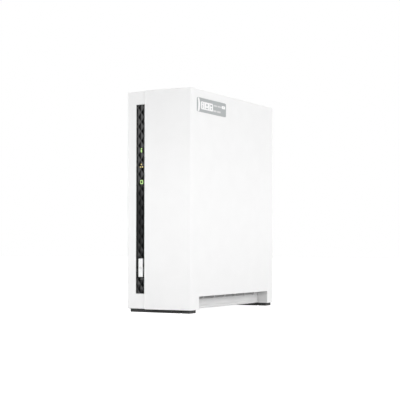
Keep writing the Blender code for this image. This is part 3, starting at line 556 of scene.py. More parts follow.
def make_base():
    """Left shell with the floor, the intake walls, the screw posts and a moulded line along the skirt."""
    left, seam = SHELL_LOW.x, COVER_LOW.x - GAP
    outline = ([(seam, HOUSING_FRONT), (seam, SHELL_HIGH.y)]
               + arc((left + CORNER, SHELL_HIGH.y - CORNER), CORNER, 90, 180, 8)
               + arc((left + CORNER, HOUSING_FRONT + CORNER), CORNER, 180, 270, 8))
    made = new_object("base_shell_moulding", [prism(outline, SHELL_LOW.z, SHELL_HIGH.z)])
    soften(made, EDGE, 4)
    settle(made)
    combine(made, [box((seam - 1, -72.6, SHELL_LOW.z), (SKIRT_X, SHELL_HIGH.y, FLOOR_TOP))], "UNION")
    combine(made, [box((SKIRT_X - NOTCH_WALL, -72.6, SHELL_LOW.z), (SKIRT_X, 75.45, SKIRT_TOP))], "UNION")
    hollow = new_object("hollow", [box((-INNER_X, HOUSING_FRONT + FRONT_WALL, FLOOR_TOP),
                                       (SKIRT_X - NOTCH_WALL, SHELL_HIGH.y + 2, INNER_TOP))])
    combine(hollow, [notch_keep(SKIRT_X - NOTCH_WALL, -1)])
    combine(hollow, [box((-INNER_X - 1, -64 + 24 * i, 122), (-INNER_X + 1.0, -62.8 + 24 * i, INNER_TOP + 1))
                     for i in range(6)])
    step = made.modifiers.new("hollow", "BOOLEAN")
    step.solver = "EXACT"
    step.object = hollow
    settle(made)
    bpy.data.objects.remove(hollow)
    combine(made, intake_slots())
    strip_edge = GAP * 0.5
    combine(made, [box((STRIP_LOW.x - strip_edge, -80, STRIP_LOW.z - strip_edge),
                       (seam + 1, STRIP_HIGH.y + GAP, STRIP_HIGH.z + strip_edge))])
    button_window = box((-21.0, -75, 28.5), (-14.0, -72, 46.9))
    guide_window = box((-20.0, -75, 106.0), (-14.0, -72, 143.5))
    combine(made, [button_window, guide_window])
    posts = [rod((-INNER_X - 0.5, y, z), "X", 3.15, 3.0, end_radius=2.7) for y, z in BOARD_SCREWS]
    posts += [rod((x, HOUSING_FRONT + FRONT_WALL - 0.5, z), "Y", 3.1, 3.0, end_radius=2.8)
              for x, z in FRONT_SCREWS]
    posts += [rod((x, y, FLOOR_TOP - 0.5), "Z", 9.7, 3.0, end_radius=2.7) for x, y in CAGE_SCREWS]
    combine(made, posts, "UNION")
    holes = [rod((-INNER_X + 0.3, y, z), "X", 4, SCREW_HOLE) for y, z in BOARD_SCREWS]
    holes += [rod((x, -72.4, z), "Y", 4, SCREW_HOLE) for x, z in FRONT_SCREWS]
    holes += [rod((x, y, FLOOR_TOP + 0.3), "Z", 12, SCREW_HOLE) for x, y in CAGE_SCREWS]
    combine(made, holes)
    combine(made, [notch_cut(SKIRT_X, -1)])
    moulding = [(RIM_X, 16.5), (RIM_X, 9.3), (21.6, 8.6), (21.6, 7.1), (SKIRT_X, 5.9),
                (22.6, 5.9), (22.6, 16.5)]
    ends = (NOTCH_FRONT - 1.0, NOTCH_REAR + 1.0)
    chamfer = [(21.3, 2.6), (22.1, 3.7), (22.8, 3.7), (22.8, 2.6)]
    line = [(GROOVE_X, 4.97), (GROOVE_X, 5.8), (23.0, 5.8), (23.0, 4.97)]
    for profile in (moulding, chamfer, line):
        combine(made, [prism([(side * x, z) for x, z in profile], *ends, "Y") for side in (-1, 1)])
    combine(made, [prism(rounded(-24, 14, -48, 48, 3.0), 0, SHELL_LOW.z + 0.35)])
    soften(made, 0.2, 2, 62)
    dress(made, WHITE, "housing", ["base_shell"])


def make_filters():
    """Foam and a square mesh behind the intake slots on both sides."""
    front, rear, pitch, wire_width = NOTCH_FRONT + 3, NOTCH_REAR - 3, 1.2, 0.3
    columns = int((rear - front) / pitch) + 1
    for side, name in ((-1, "left"), (1, "right")):
        near, far = sorted((side * 19.5, side * 19.68))
        foam = box((near, front, FILTER_LOW), (far, rear, FILTER_HIGH))
        piece(f"{name}_filter_foam", [foam], FILTER, "housing", edge=0.05)
        near, far = sorted((side * 19.7, side * 19.95))
        mesh = [box((near, front, FILTER_LOW + z), (far, rear, FILTER_LOW + z + 0.35))
                for z in (0.0, 1.1, 2.2, 3.3, 4.25)]
        mesh += [box((near, front + pitch * i, FILTER_LOW),
                     (far, front + pitch * i + wire_width, FILTER_HIGH))
                 for i in range(columns)]
        piece(f"{name}_filter_mesh", mesh, FILTER, "housing")


def make_rating_panel():
    """Blank sheet in the shallow recess under the base."""
    sheet = prism(rounded(-22, 12, -44, 44, 2.0), SHELL_LOW.z + 0.2, SHELL_LOW.z + 0.34)
    piece("rating_panel", [sheet], PAPER, "housing", edge=0.05)


def make_label():
    """Grey film in its pocket: a white arc by the front end, a box of three cells and blank pale bars."""
    y0, y1, z0, z1 = LABEL_LOW.y, LABEL_HIGH.y, LABEL_LOW.z, LABEL_HIGH.z
    face = LABEL_HIGH.x - 0.04
    top, proud = face + 0.014, face + 0.028
    piece("label_film", [prism(rounded(y0, y1, z0, z1, 1.5), LABEL_LOW.x, face, "X")], LABEL, "cover",
          ["side_label"], edge=0.03, segments=2)
    middle = (z0 + z1) / 2
    sweep = arc((y0 - 5.4, middle), 10.7, 33, -33, 20)
    back = arc((y0 - 13.6, middle), 15.7, -21, 21, 20)
    white = [prism(outline, face - 0.02, top, "X") for outline in (
        sweep + back, rounded(y0 + 6.7, y0 + 27.3, z0 + 2.5, z1 - 2.9, 1.2),
        rounded(y1 - 7.7, y1 - 1.5, z1 - 5.3, z1 - 2.7, 0.7))]
    piece("label_white_print", white, LABEL_WHITE, "cover")
    cells = y0 + 6.7
    marks = [rounded(cells + a, cells + b, z0 + low, z0 + high, radius, 4) for a, b, low, high, radius in (
        (5.6, 6.0, 3.1, 8.6, 0.15), (14.2, 14.6, 3.1, 8.6, 0.15), (2.3, 3.2, 3.6, 6.4, 0.4),
        (8.0, 12.2, 3.7, 4.5, 0.35), (16.2, 19.0, 6.5, 8.0, 0.4))]
    discs = ((2.75, 7.8, 0.65), (10.1, 6.9, 1.15), (17.6, 4.6, 0.8), (y1 - cells - 4.6, z1 - z0 - 4.0, 0.45))
    marks += [arc((cells + y, z0 + z), r, 0, 345, 23) for y, z, r in discs]
    piece("label_marks", [prism(outline, top - 0.01, proud, "X") for outline in marks], LABEL, "cover")
    lengths = ((28.4, 6.0, 7.3, 1.3), (35.2, 7.0, 7.3, 1.3), (27.6, 6.0, 2.5, 1.6), (34.4, 6.6, 2.5, 1.6))
    bars = [rounded(y0 + y, y0 + y + length, z0 + z, z0 + z + high, high / 2.1, 4)
            for y, length, z, high in lengths]
    piece("label_bars", [prism(bar, face - 0.02, top, "X") for bar in bars], LABEL_PALE, "cover")


def make_feet():
    """Rubber bars and pads with round edges and grooves underneath, tall enough to meet the shell."""
    for node, body in (("front_foot", "housing"), ("rear_foot", "housing"),
                       ("cover_front_foot", "cover"), ("cover_rear_foot", "cover")):
        low, high = span(node)
        starts = [low.y + 1.5 + 1.7 * i for i in range(5)]
        grooves = [box((low.x + 1.0, y, low.z - 1), (high.x - 1.0, y + 0.7, low.z + 0.35)) for y in starts]
        top = high + Vector((0, 0, 0.27))
        piece(node + "_rubber", [box(low, top)], RUBBER, body, [node], edge=0.2, cuts=[grooves], segments=3)


# ---------------------------------------------------------------- front

def facets(bm):
    """Front of the trim strip: a lattice of diamond pyramids, cut to the strip and closed at its back."""
    peak = HOUSING_FRONT + 0.02
    columns, rows = range(-2, 5), range(-4, 42)
    grid = {}
    for i in columns:
        for j in rows:
            depth = peak if (i + j) % 2 == 0 else peak + DIAMOND_DEPTH
            x, z = DIAMOND_START[0] + DIAMOND_X * i, DIAMOND_START[1] - DIAMOND_Z * j
            grid[i, j] = bm.verts.new((x, depth, z))
    for i in columns:
        for j in rows:
            if (i + j) % 2:
                continue
            for across, along in ((1, 1), (1, -1), (-1, 1), (-1, -1)):
                if (i + across, j) in grid and (i, j + along) in grid:
                    bm.faces.new((grid[i, j], grid[i + across, j], grid[i, j + along]))
    sides = [((STRIP_LOW.x, 0, 0), (-1, 0, 0)), ((STRIP_HIGH.x, 0, 0), (1, 0, 0)),
             ((0, 0, STRIP_LOW.z), (0, 0, -1)), ((0, 0, STRIP_HIGH.z), (0, 0, 1))]
    for point, outward in sides:
        every = bm.verts[:] + bm.edges[:] + bm.faces[:]
        bmesh.ops.bisect_plane(bm, geom=every, plane_co=point, plane_no=outward, clear_outer=True)
    rim = [edge for edge in bm.edges if edge.is_boundary]
    pushed = bmesh.ops.extrude_edge_only(bm, edges=rim)["geom"]
    back = [v for v in pushed if isinstance(v, bmesh.types.BMVert)]
    for vertex in back:
        vertex.co.y = STRIP_HIGH.y
    bmesh.ops.contextual_create(bm, geom=[e for e in pushed if isinstance(e, bmesh.types.BMEdge)])
    return bm.verts[:]


def around(x, z, half_wide, half_high, radius, steps):
    """Outline of a round-cornered rectangle about its centre."""
    return rounded(x - half_wide, x + half_wide, z - half_high, z + half_high, radius, steps)


def make_strip():
    """Faceted strip with its windows, and a thin edge on the left that hides the pocket's wall."""
    button = rounded(BUTTON_LOW.x + 0.8 - 0.2, BUTTON_HIGH.x - 0.9 + 0.2, 29.9 - 0.2, 45.5 + 0.2, 0.6, 3)
    bar = rounded(INDICATOR_X - 0.62, INDICATOR_X + 0.62, STATUS_BAR[0] - 0.1, STATUS_BAR[1], 0.45, 4)
    ring = around(DRIVE_X, DRIVE_Z, 1.45, 1.8, 0.7, 4)
    icons = [prism(button, -78, -74, "Y"), prism(bar, -78, -74, "Y"),
             rod((INDICATOR_X, -78, STATUS_DOT_Z), "Y", 4, 0.6, 24), prism(ring, -78, -74, "Y")]
    icons += [rod((x, -78, z), "Y", 4, 0.56, 20) for x, z in NETWORK_DOTS]
    made = new_object("faceted_strip", [facets])
    combine(made, icons)
    combine(made, [box((STRIP_LOW.x - 0.14, HOUSING_FRONT + 0.03, STRIP_LOW.z),
                       (STRIP_LOW.x + 0.05, STRIP_HIGH.y, STRIP_HIGH.z))], "UNION")
    dress(made, DARK_GLOSS, "housing", ["trim_strip"], smooth=5)


def guide(name, low, high, tips, material, node, cuts=()):
    block = box((-19.6, STRIP_HIGH.y + GAP, low), (-14.4, -71.0, high))
    piece(name, [block], material, "housing", [node], edge=0.25, joined=[tips], cuts=cuts, late_edge=0.1)


def make_guides():
    """Light guides whose tips stand level with the facets."""
    tip = HOUSING_FRONT + 0.25
    bar = prism(rounded(INDICATOR_X - 0.51, INDICATOR_X + 0.51, *STATUS_BAR, 0.4, 5), tip, -74, "Y")
    dot = rod((INDICATOR_X, tip, STATUS_DOT_Z), "Y", 2.2, 0.5, 24)
    guide("status_guide", 134.0, 143.0, [bar, dot], GREEN_LIGHT, "status_lens")
    dots = [rod((x, tip, z), "Y", 2.2, 0.47, 20) for x, z in NETWORK_DOTS]
    guide("network_guide", 121.0, 130.0, dots, AMBER_LIGHT, "network_lens")
    ring = prism(around(DRIVE_X, DRIVE_Z, 1.3, 1.66, 0.6, 5), tip, -74, "Y")
    centre = prism(around(DRIVE_X, DRIVE_Z, 0.76, 1.05, 0.2, 4), -78, -75, "Y")
    guide("drive_guide", 107.0, 115.0, [ring], GREEN_LIGHT, "drive_lens", [[centre]])
    core = around(DRIVE_X, DRIVE_Z, 0.72, 1.01, 0.2, 4)
    piece("drive_guide_core", [prism(core, tip + 0.05, -75.05, "Y")], DARK_GLOSS, "housing", edge=0.08)


def make_button():
    """White cap folded along an upright ridge, with a small power sign."""
    left, right, low, high, front = -19.9, -15.45, 29.9, 45.5, BUTTON_LOW.y
    middle = (left + right) / 2
    plan = [(left, front + 0.45), (left + 0.4, front + 0.2), (middle - 0.3, front + 0.02),
            (middle + 0.3, front + 0.02), (right - 0.4, front + 0.2), (right, front + 0.45),
            (right, -73.5), (left, -73.5)]
    made = new_object("power_button_cap", [prism(plan, low, high)])
    soften(made, 0.3, 3, 40)
    settle(made)
    flange = [box((-20.7, STRIP_HIGH.y + GAP, 28.9), (-14.3, -72.9, 46.5))]
    combine(made, flange, "UNION")
    combine(made, [rod((middle, -73.5, (low + high) / 2), "Y", 1.7, 1.2, 24)], "UNION")
    dress(made, CAP_WHITE, "power_button", ["power_button"])
    centre_z = (low + high) / 2
    heart = (middle, centre_z - 0.2)
    ring = arc(heart, 0.95, 128, 412, 18) + arc(heart, 0.65, 412, 128, 18)
    sign = [prism(ring, front, front + 0.12, "Y"),
            box((middle - 0.14, front, centre_z), (middle + 0.14, front + 0.12, centre_z + 1.15))]
    piece("power_sign", sign, LABEL, "power_button")


# ---------------------------------------------------------------- fasteners

def cross_screw(name, place_, direction, head_height, head_radius, shank, material, body, stands_for=()):
    """Pan-head screw with a cross recess; its place is the underside of the head."""
    outward = 1 if direction == "Y" else -1
    dome = [(0, head_height), (head_radius * 0.55, head_height), (head_radius * 0.85, head_height * 0.8),
            (head_radius, head_height * 0.4), (head_radius, 0), (1.4, 0), (1.4, -shank), (0, -shank)]
    made = new_object(name, [turned(dome, place_, direction, 28)])
    centre = Vector(place_) + Vector((0, outward * head_height, 0))
    deep, arm, thick = head_height * 0.7, head_radius * 0.62, head_radius * 0.13
    cross = [box(centre - Vector((arm, deep, thick)), centre + Vector((arm, deep, thick)))]
    combine(made, cross)
    combine(made, [box(centre - Vector((thick, deep, arm)), centre + Vector((thick, deep, arm)))])
    dress(made, material, body, stands_for)


def make_screws():
    for i in range(1, 5):
        low, high = span(f"fan_screw_{i}")
        centre = (low + high) / 2
        cross_screw(f"fan_fixing_{i}", (centre.x, 77.05, centre.z), "Y", 1.1, 2.9, 9.0, DARK_SCREW, "housing",
                    [f"fan_screw_{i}"])
    for i, z in enumerate(COVER_SCREW_Z, 1):
        cross_screw(f"cover_fixing_{i}", (COVER_SCREW_X, 77.25, z), "Y", 0.9, 2.8, 5.0, SCREW_STEEL, "cover",
                    [f"cover_screw_{i}"])
    for side, direction in (("front", "-Y"), ("rear", "Y")):
        for i in (1, 2):
            low, high = span(f"tray_{side}_screw_{i}")
            centre = (low + high) / 2
            under = low.y + 1.6 if side == "front" else high.y - 1.6
            cross_screw(f"tray_{side}_fixing_{i}", (centre.x, under, centre.z), direction, 1.6, 2.8, 3.4,
                        SCREW_STEEL, "drive_carrier", [f"tray_{side}_screw_{i}"])
    head = [(0, 0), (2.6, 0), (2.6, 0.7), (2.0, 1.2), (0.7, 1.3), (0.6, 0.5), (0, 0.5)]
    for i, (y, z) in enumerate(BOARD_SCREWS, 1):
        screw = turned(head, (BOARD_HIGH.x + 0.05, y, z), "X", 24)
        piece(f"board_fixing_{i}", [screw], SCREW_STEEL, "housing")


# ---------------------------------------------------------------- rear

def grille_holes():
    holes = []
    rows = int(GRILLE_RADIUS / (GRILLE_PITCH * 0.866))
    for row in range(-rows, rows + 1):
        for column in range(-6, 7):
            x, z = column * GRILLE_PITCH + (row % 2) * GRILLE_PITCH / 2, row * GRILLE_PITCH * 0.866
            if math.hypot(x, z) < GRILLE_RADIUS - 2.45:
                holes.append(rod((FAN_X + x, 75, FAN_Z + z), "Y", 4, 2.45, 6))
    return holes


def fan_corners(y):
    return [(FAN_X + sx * FAN_HOLE, y, FAN_Z + sz * FAN_HOLE) for sx in (-1, 1) for sz in (-1, 1)]


def make_panel():
    """Flat rear panel: fan grille with a raised ring, port openings, lock slot and cover tabs."""
    tabs = [box((17, 73.55, z - 6), (PANEL_RIGHT, 76.5, z + 6)) for z in COVER_SCREW_Z]
    wings = [box((18, 73.55, z - 6), (29.0, 75.7, z + 6)) for z in COVER_SCREW_Z]
    plate = box((-INNER_X + GAP, 75.75, PANEL_LOW.z), (PANEL_RIGHT, PANEL_HIGH.y, PANEL_HIGH.z))
    made = new_object("rear_panel_plate", [plate])
    soften(made, 0.35, 3)
    settle(made)
    combine(made, tabs, "UNION")
    combine(made, wings, "UNION")
    face, proud = PANEL_HIGH.y, PANEL_HIGH.y + 0.3
    jack_rim = rounded(PORT_LEFT - 1.6, -9.3, JACK_Z - 9.9, JACK_Z + 9.9, 0.8, 4)
    lock_rim = around(LOCK_X, LOCK_Z, 3.6, 5.6, 1.6, 5)
    raised = [prism(arc((FAN_X, FAN_Z), 24.6, 0, 354, 59), face - 0.3, proud, "Y"),
              prism(jack_rim, face - 0.3, proud - 0.05, "Y"), prism(lock_rim, face - 0.3, proud - 0.05, "Y")]
    combine(made, raised, "UNION")
    dish = [prism(arc((FAN_X, FAN_Z), 23.4, 0, 354, 59), face, proud + 1, "Y"),
            prism(rounded(-8.2, 20.0, 24.0, 56.0, 1.5, 5), face - 0.25, proud + 1, "Y")]
    combine(made, dish)
    openings = [rounded(PORT_LEFT - GAP, -10.9, JACK_Z - 8.3, JACK_Z + 8.3, 0.5, 3),
                rounded(PORT_LEFT - GAP, -13.4, POWER_Z - 5.05, POWER_Z + 5.05, 1.0, 4),
                around(LOCK_X, LOCK_Z, 1.6, 3.6, 1.5, 6)]
    openings += [rounded(PORT_LEFT - GAP, -17.4, z - 7.55, z + 7.55, 0.5, 3) for z in USB_Z]
    ports = [prism(outline, 75, 79, "Y") for outline in openings]
    ports.append(rod((RESET_X, 75, RESET_Z), "Y", 4, 1.3, 32))
    ports += [box((COVER_SCREW_X - 1.7, 72, z - 1.7), (31, 76, z + 1.7)) for z in COVER_SCREW_Z]
    combine(made, ports)
    combine(made, grille_holes())
    combine(made, [rod(spot, "Y", 6, 1.9) for spot in fan_corners(74.0)])
    combine(made, [rod(spot, "Y", 2.4, 3.1, end_radius=3.6) for spot in fan_corners(76.75)])
    soften(made, 0.12, 2, 58)
    dress(made, WHITE, "housing", ["rear_panel"])
    paper = [prism(rounded(-7.4, 19.2, 24.8, 55.2, 1.0, 4), face - 0.27, face - 0.12, "Y")]
    piece("blank_rear_label", paper, PAPER, "housing", edge=0.03)
    rows = [box((-5.4, face - 0.15, z), (-5.4 + length, face - 0.1, z + 0.9))
            for z, length in ((51.5, 17), (49.0, 12), (46.5, 20), (30.0, 9), (27.5, 14))]
    rows += [prism(rounded(-5.4, 17.2, 33.5, 43.5, 0.8, 4), face - 0.15, face - 0.105, "Y")]
    piece("blank_rear_label_print", rows, LABEL, "housing")


def make_jack():
    """Network jack: folded steel shield, dark insert, eight gold springs and two link lights."""
    low, high = span("network_jack")
    mouth = prism(rounded(low.x + 1.9, high.x - 3.2, JACK_Z - 6.2, JACK_Z + 6.2, 0.3, 2), 62, 79, "Y")
    latch = box((high.x - 3.4, 62, JACK_Z - 3.2), (high.x - 1.2, 79, JACK_Z + 3.2))
    seams = [box((low.x - 1, 74.6, JACK_Z - 8.5), (high.x + 1, 74.75, JACK_Z - 7.85))]
    piece("network_shield", [box(low, high)], STEEL, "housing", ["network_jack"], edge=0.25,
          cuts=[[mouth], [latch], seams], late_edge=0.08)
    well = box((low.x + 1.95, 63, JACK_Z - 6.15), (high.x - 1.25, 76.4, JACK_Z + 6.15))
    cavity = box((low.x + 2.6, 65, JACK_Z - 5.6), (high.x - 3.5, 79, JACK_Z + 5.6))
    catch = box((high.x - 3.7, 65, JACK_Z - 2.8), (high.x - 1.6, 79, JACK_Z + 2.8))
    piece("network_insert", [well], BLACK, "housing", edge=0.1, cuts=[[cavity], [catch]], late_edge=0.05)
    springs = []
    for i in range(8):
        z = JACK_Z - 3.57 + 1.02 * i
        slope = [(low.x + 2.7, 75.6), (low.x + 3.0, 75.7), (low.x + 6.4, 66.4), (low.x + 6.1, 66.2)]
        springs.append(prism(slope, z - 0.18, z + 0.18))
    piece("network_contacts", springs, GOLD, "housing")
    lamps = (("link_light", JACK_Z - 4.7, GREEN_LIGHT), ("busy_light", JACK_Z + 4.7, AMBER_LIGHT))
    for name, z, material in lamps:
        lamp = box((high.x - 3.1, 76.2, z - 1.1), (high.x - 1.3, 77.1, z + 1.1))
        piece(name, [lamp], material, "housing", edge=0.2)


def make_usb():
    """Two sockets: steel shield with spring tabs, blue tongue, gold pads."""
    for number, z in enumerate(USB_Z, 1):
        low, high = span(f"usb_socket_{number}")
        mouth = prism(rounded(low.x + 0.9, high.x - 0.9, z - 6.3, z + 6.3, 0.35, 3), 66, 79, "Y")
        tabs = (z - 3.4, z + 3.4)
        pips = [box((high.x - 1.2, 70, tab - 1.0), (high.x + 1, 73.4, tab + 1.0)) for tab in tabs]
        piece(f"usb_shield_{number}", [box(low, high)], STEEL, "housing", [f"usb_socket_{number}"], edge=0.3,
              cuts=[[mouth], pips], late_edge=0.08)
        tongue = box((low.x + 1.5, 66, z - 5.6), (low.x + 3.4, 76.4, z + 5.6))
        piece(f"usb_tongue_{number}", [tongue], USB_BLUE, "housing", edge=0.2)
        contacts = [z - 4.0 + 2.4 * i for i in range(4)]
        pads = [box((low.x + 3.35, 68.5, c - 0.5), (low.x + 3.5, 75.6, c + 0.5)) for c in contacts]
        piece(f"usb_contacts_{number}", pads, GOLD, "housing", edge=0.04)
        bent = [(high.x - 1.0, 70.2), (high.x - 1.0, 73.2), (high.x - 1.7, 72.6), (high.x - 1.9, 71.6)]
        springs = [prism(bent, tab - 0.8, tab + 0.8) for tab in tabs]
        piece(f"usb_springs_{number}", springs, STEEL, "housing", edge=0.04)


def make_inlet():
    """Power inlet: body, steel sleeve and centre pin. The reset plunger sits above it."""
    low, high = span("power_inlet")
    centre_x = -19.2
    bore = turned([(0, 0), (2.75, 0), (2.75, 9.0), (3.35, 9.8), (0, 9.8)], (centre_x, 67.8, POWER_Z), "Y", 48)
    piece("inlet_body", [box(low, high)], BLACK, "housing", ["power_inlet"], edge=0.5, cuts=[[bore]])
    sleeve = [prism(arc((centre_x, POWER_Z), 2.7, 0, 352.5, 47), 67.9, 76.2, "Y")]
    piece("inlet_sleeve", sleeve, STEEL, "housing", edge=0.1,
          cuts=[[rod((centre_x, 68.4, POWER_Z), "Y", 12, 2.45, 48)]])
    pin = turned([(0, 0), (0.95, 0), (0.95, 7.4), (0.7, 8.2), (0, 8.4)], (centre_x, 68.3, POWER_Z), "Y", 28)
    piece("inlet_pin", [pin], SCREW_STEEL, "housing")
    stem = [(0, -4.7), (1.0, -4.7), (1.0, -3.35), (2.0, -3.35), (2.0, -2.15), (1.0, -2.15), (1.0, -0.25),
            (0.8, 0), (0, 0)]
    piece("reset_plunger", [turned(stem, (RESET_X, 77.1, RESET_Z), "Y", 28)], BLACK, "reset_button",
          ["reset_button"])


def make_fan():
    """Square fan frame with a flanged round duct, curved struts, and a seven-blade rotor."""
    rim = [(0, -1), (FAN_BORE + 1.2, -1), (FAN_BORE + 1.0, 0.4), (FAN_BORE, 2.2), (FAN_BORE, 12.6),
           (FAN_BORE + 0.8, 14.4), (FAN_BORE + 1.2, 16), (0, 16)]
    duct = turned(rim, (FAN_X, FRAME_LOW.y, FAN_Z), "Y", 96)
    half = FRAME_HIGH.x - FAN_X
    spans = {-1: (-half - 1, -half + 1.1), 0: (-12.5, 12.5), 1: (half - 1.1, half + 1)}
    waist = []
    for sx, sz in ((1, 0), (-1, 0), (0, 1), (0, -1)):
        across, along = spans[sx], spans[sz]
        waist.append(box((FAN_X + across[0], FRAME_LOW.y + 3, FAN_Z + along[0]),
                         (FAN_X + across[1], FRAME_HIGH.y - 3, FAN_Z + along[1])))
    outline = rounded(FRAME_LOW.x, FRAME_HIGH.x, FRAME_LOW.z, FRAME_HIGH.z, 3.0, 6)
    frame_box = prism(outline, FRAME_LOW.y, FRAME_HIGH.y, "Y")
    struts = []
    for i in range(3):
        curve = [(r, 1.6 * math.sin(math.pi * (r - 8) / 16)) for r in range(8, 26, 2)]
        outline = [(r, o + 1.1) for r, o in curve] + [(r, o - 1.1) for r, o in reversed(curve)]
        turn = shift((FAN_X, FRAME_LOW.y, FAN_Z)) @ Matrix.Rotation(math.radians(90 + 120 * i), 4, "Y")
        struts.append(moved(prism(outline, 0.2, 1.9, "Y"), turn))
    motor = [(0, 0.05), (10.2, 0.05), (10.6, 0.4), (10.6, 2.0), (0, 2.0)]
    plate = turned(motor, (FAN_X, FRAME_LOW.y, FAN_Z), "Y", 48)
    piece("fan_housing", [frame_box], BLACK, "housing", ["fan_frame"], edge=0.35,
          cuts=[[duct], waist, [rod(spot, "Y", 20, 2.1) for spot in fan_corners(58.0)]],
          late_edge=0.12)
    piece("fan_struts", struts, BLACK, "housing", edge=0.25)
    piece("fan_motor_plate", [plate], BLACK, "housing")
    centre = shift((FAN_X, FAN_Y, FAN_Z))
    blades = [moved(blade, centre @ Matrix.Rotation(2 * math.pi * i / 7, 4, "Y")) for i in range(7)]
    piece("fan_blades", blades, BLACK, "fan", ["fan_rotor"])
    hub = [(0, -5.5), (10.2, -5.5), (11.0, -4.6), (11.0, 4.6), (10.3, 5.6), (9.4, 5.9), (0, 5.9)]
    piece("fan_hub", [turned(hub, (FAN_X, FAN_Y, FAN_Z), "Y", 64)], BLACK, "fan")
    disc = [(0, 0), (8.2, 0), (8.2, 0.08), (0, 0.08)]
    piece("fan_hub_sticker", [turned(disc, (FAN_X, FAN_Y + 5.88, FAN_Z), "Y", 48)], PAPER, "fan")


def blade(bm):
    """One swept fan blade: an aerofoil section that flattens and leads forward towards its tip."""
    stations = 7
    rows = []
    for k in range(stations):
        t = k / (stations - 1)
        radius = 10.4 + 11.5 * t
        chord = 9.0 + 5.0 * t
        pitch = math.radians(48 - 20 * t)
        lead = math.radians(16 * t * t)
        row = []
        for side in (1, -1):
            steps = range(9) if side > 0 else range(7, 0, -1)
            for s in steps:
                u = s / 8
                thick = 0.75 * math.sqrt(u) * (1 - u) * 2.2 + 0.08
                camber = 0.9 * math.sin(math.pi * u)
                along, up = chord * (u - 0.5), camber + side * thick / 2
                tangential = along * math.cos(pitch) - up * math.sin(pitch)
                axial = along * math.sin(pitch) + up * math.cos(pitch)
                angle = tangential / radius + lead
                row.append(bm.verts.new((radius * math.cos(angle), axial, radius * math.sin(angle))))
        rows.append(row)
    count = len(rows[0])
    for near, far in zip(rows, rows[1:]):
        for i in range(count):
            j = (i + 1) % count
            bm.faces.new((near[i], near[j], far[j], far[i]))
    bm.faces.new(rows[0])
    bm.faces.new(rows[-1])
    return [v for row in rows for v in row]


def make_fan_lead():
    """Three thin wires twisted together from the header to the fan."""
    low, high = span("fan_cable")
    start, end = Vector((-21.7, 59.6, low.z + 0.5)), Vector((-21.7, 64.4, high.z - 0.5))
    for number, material in enumerate((JACKET, RED_JACKET, YELLOW_JACKET)):
        points = []
        for i in range(13):
            t = i / 12
            ease = t * t * (3 - 2 * t)
            turn = 2 * math.pi * (number / 3 + 1.5 * t)
            bow = 2.0 * math.sin(math.pi * t) ** 2
            points.append((start.x + bow + 0.55 * math.cos(turn),
                           start.y + (end.y - start.y) * ease + 0.55 * math.sin(turn),
                           start.z + (end.z - start.z) * t))
        wire(f"fan_wire_{number + 1}", points, 0.5, material, "housing", ["fan_cable"] if number == 0 else ())


# ---------------------------------------------------------------- boards

def parts_on_board(name, places, size, material, edge=0.12):
    """Small equal components standing on the main board's +X face; a place is (y, z)."""
    face = BOARD_HIGH.x
    tall, deep, high = size
    shapes = [box((face + 0.02, y - deep / 2, z - high / 2), (face + tall, y + deep / 2, z + high / 2))
              for y, z in places]
    piece(name, shapes, material, "housing", edge=edge)


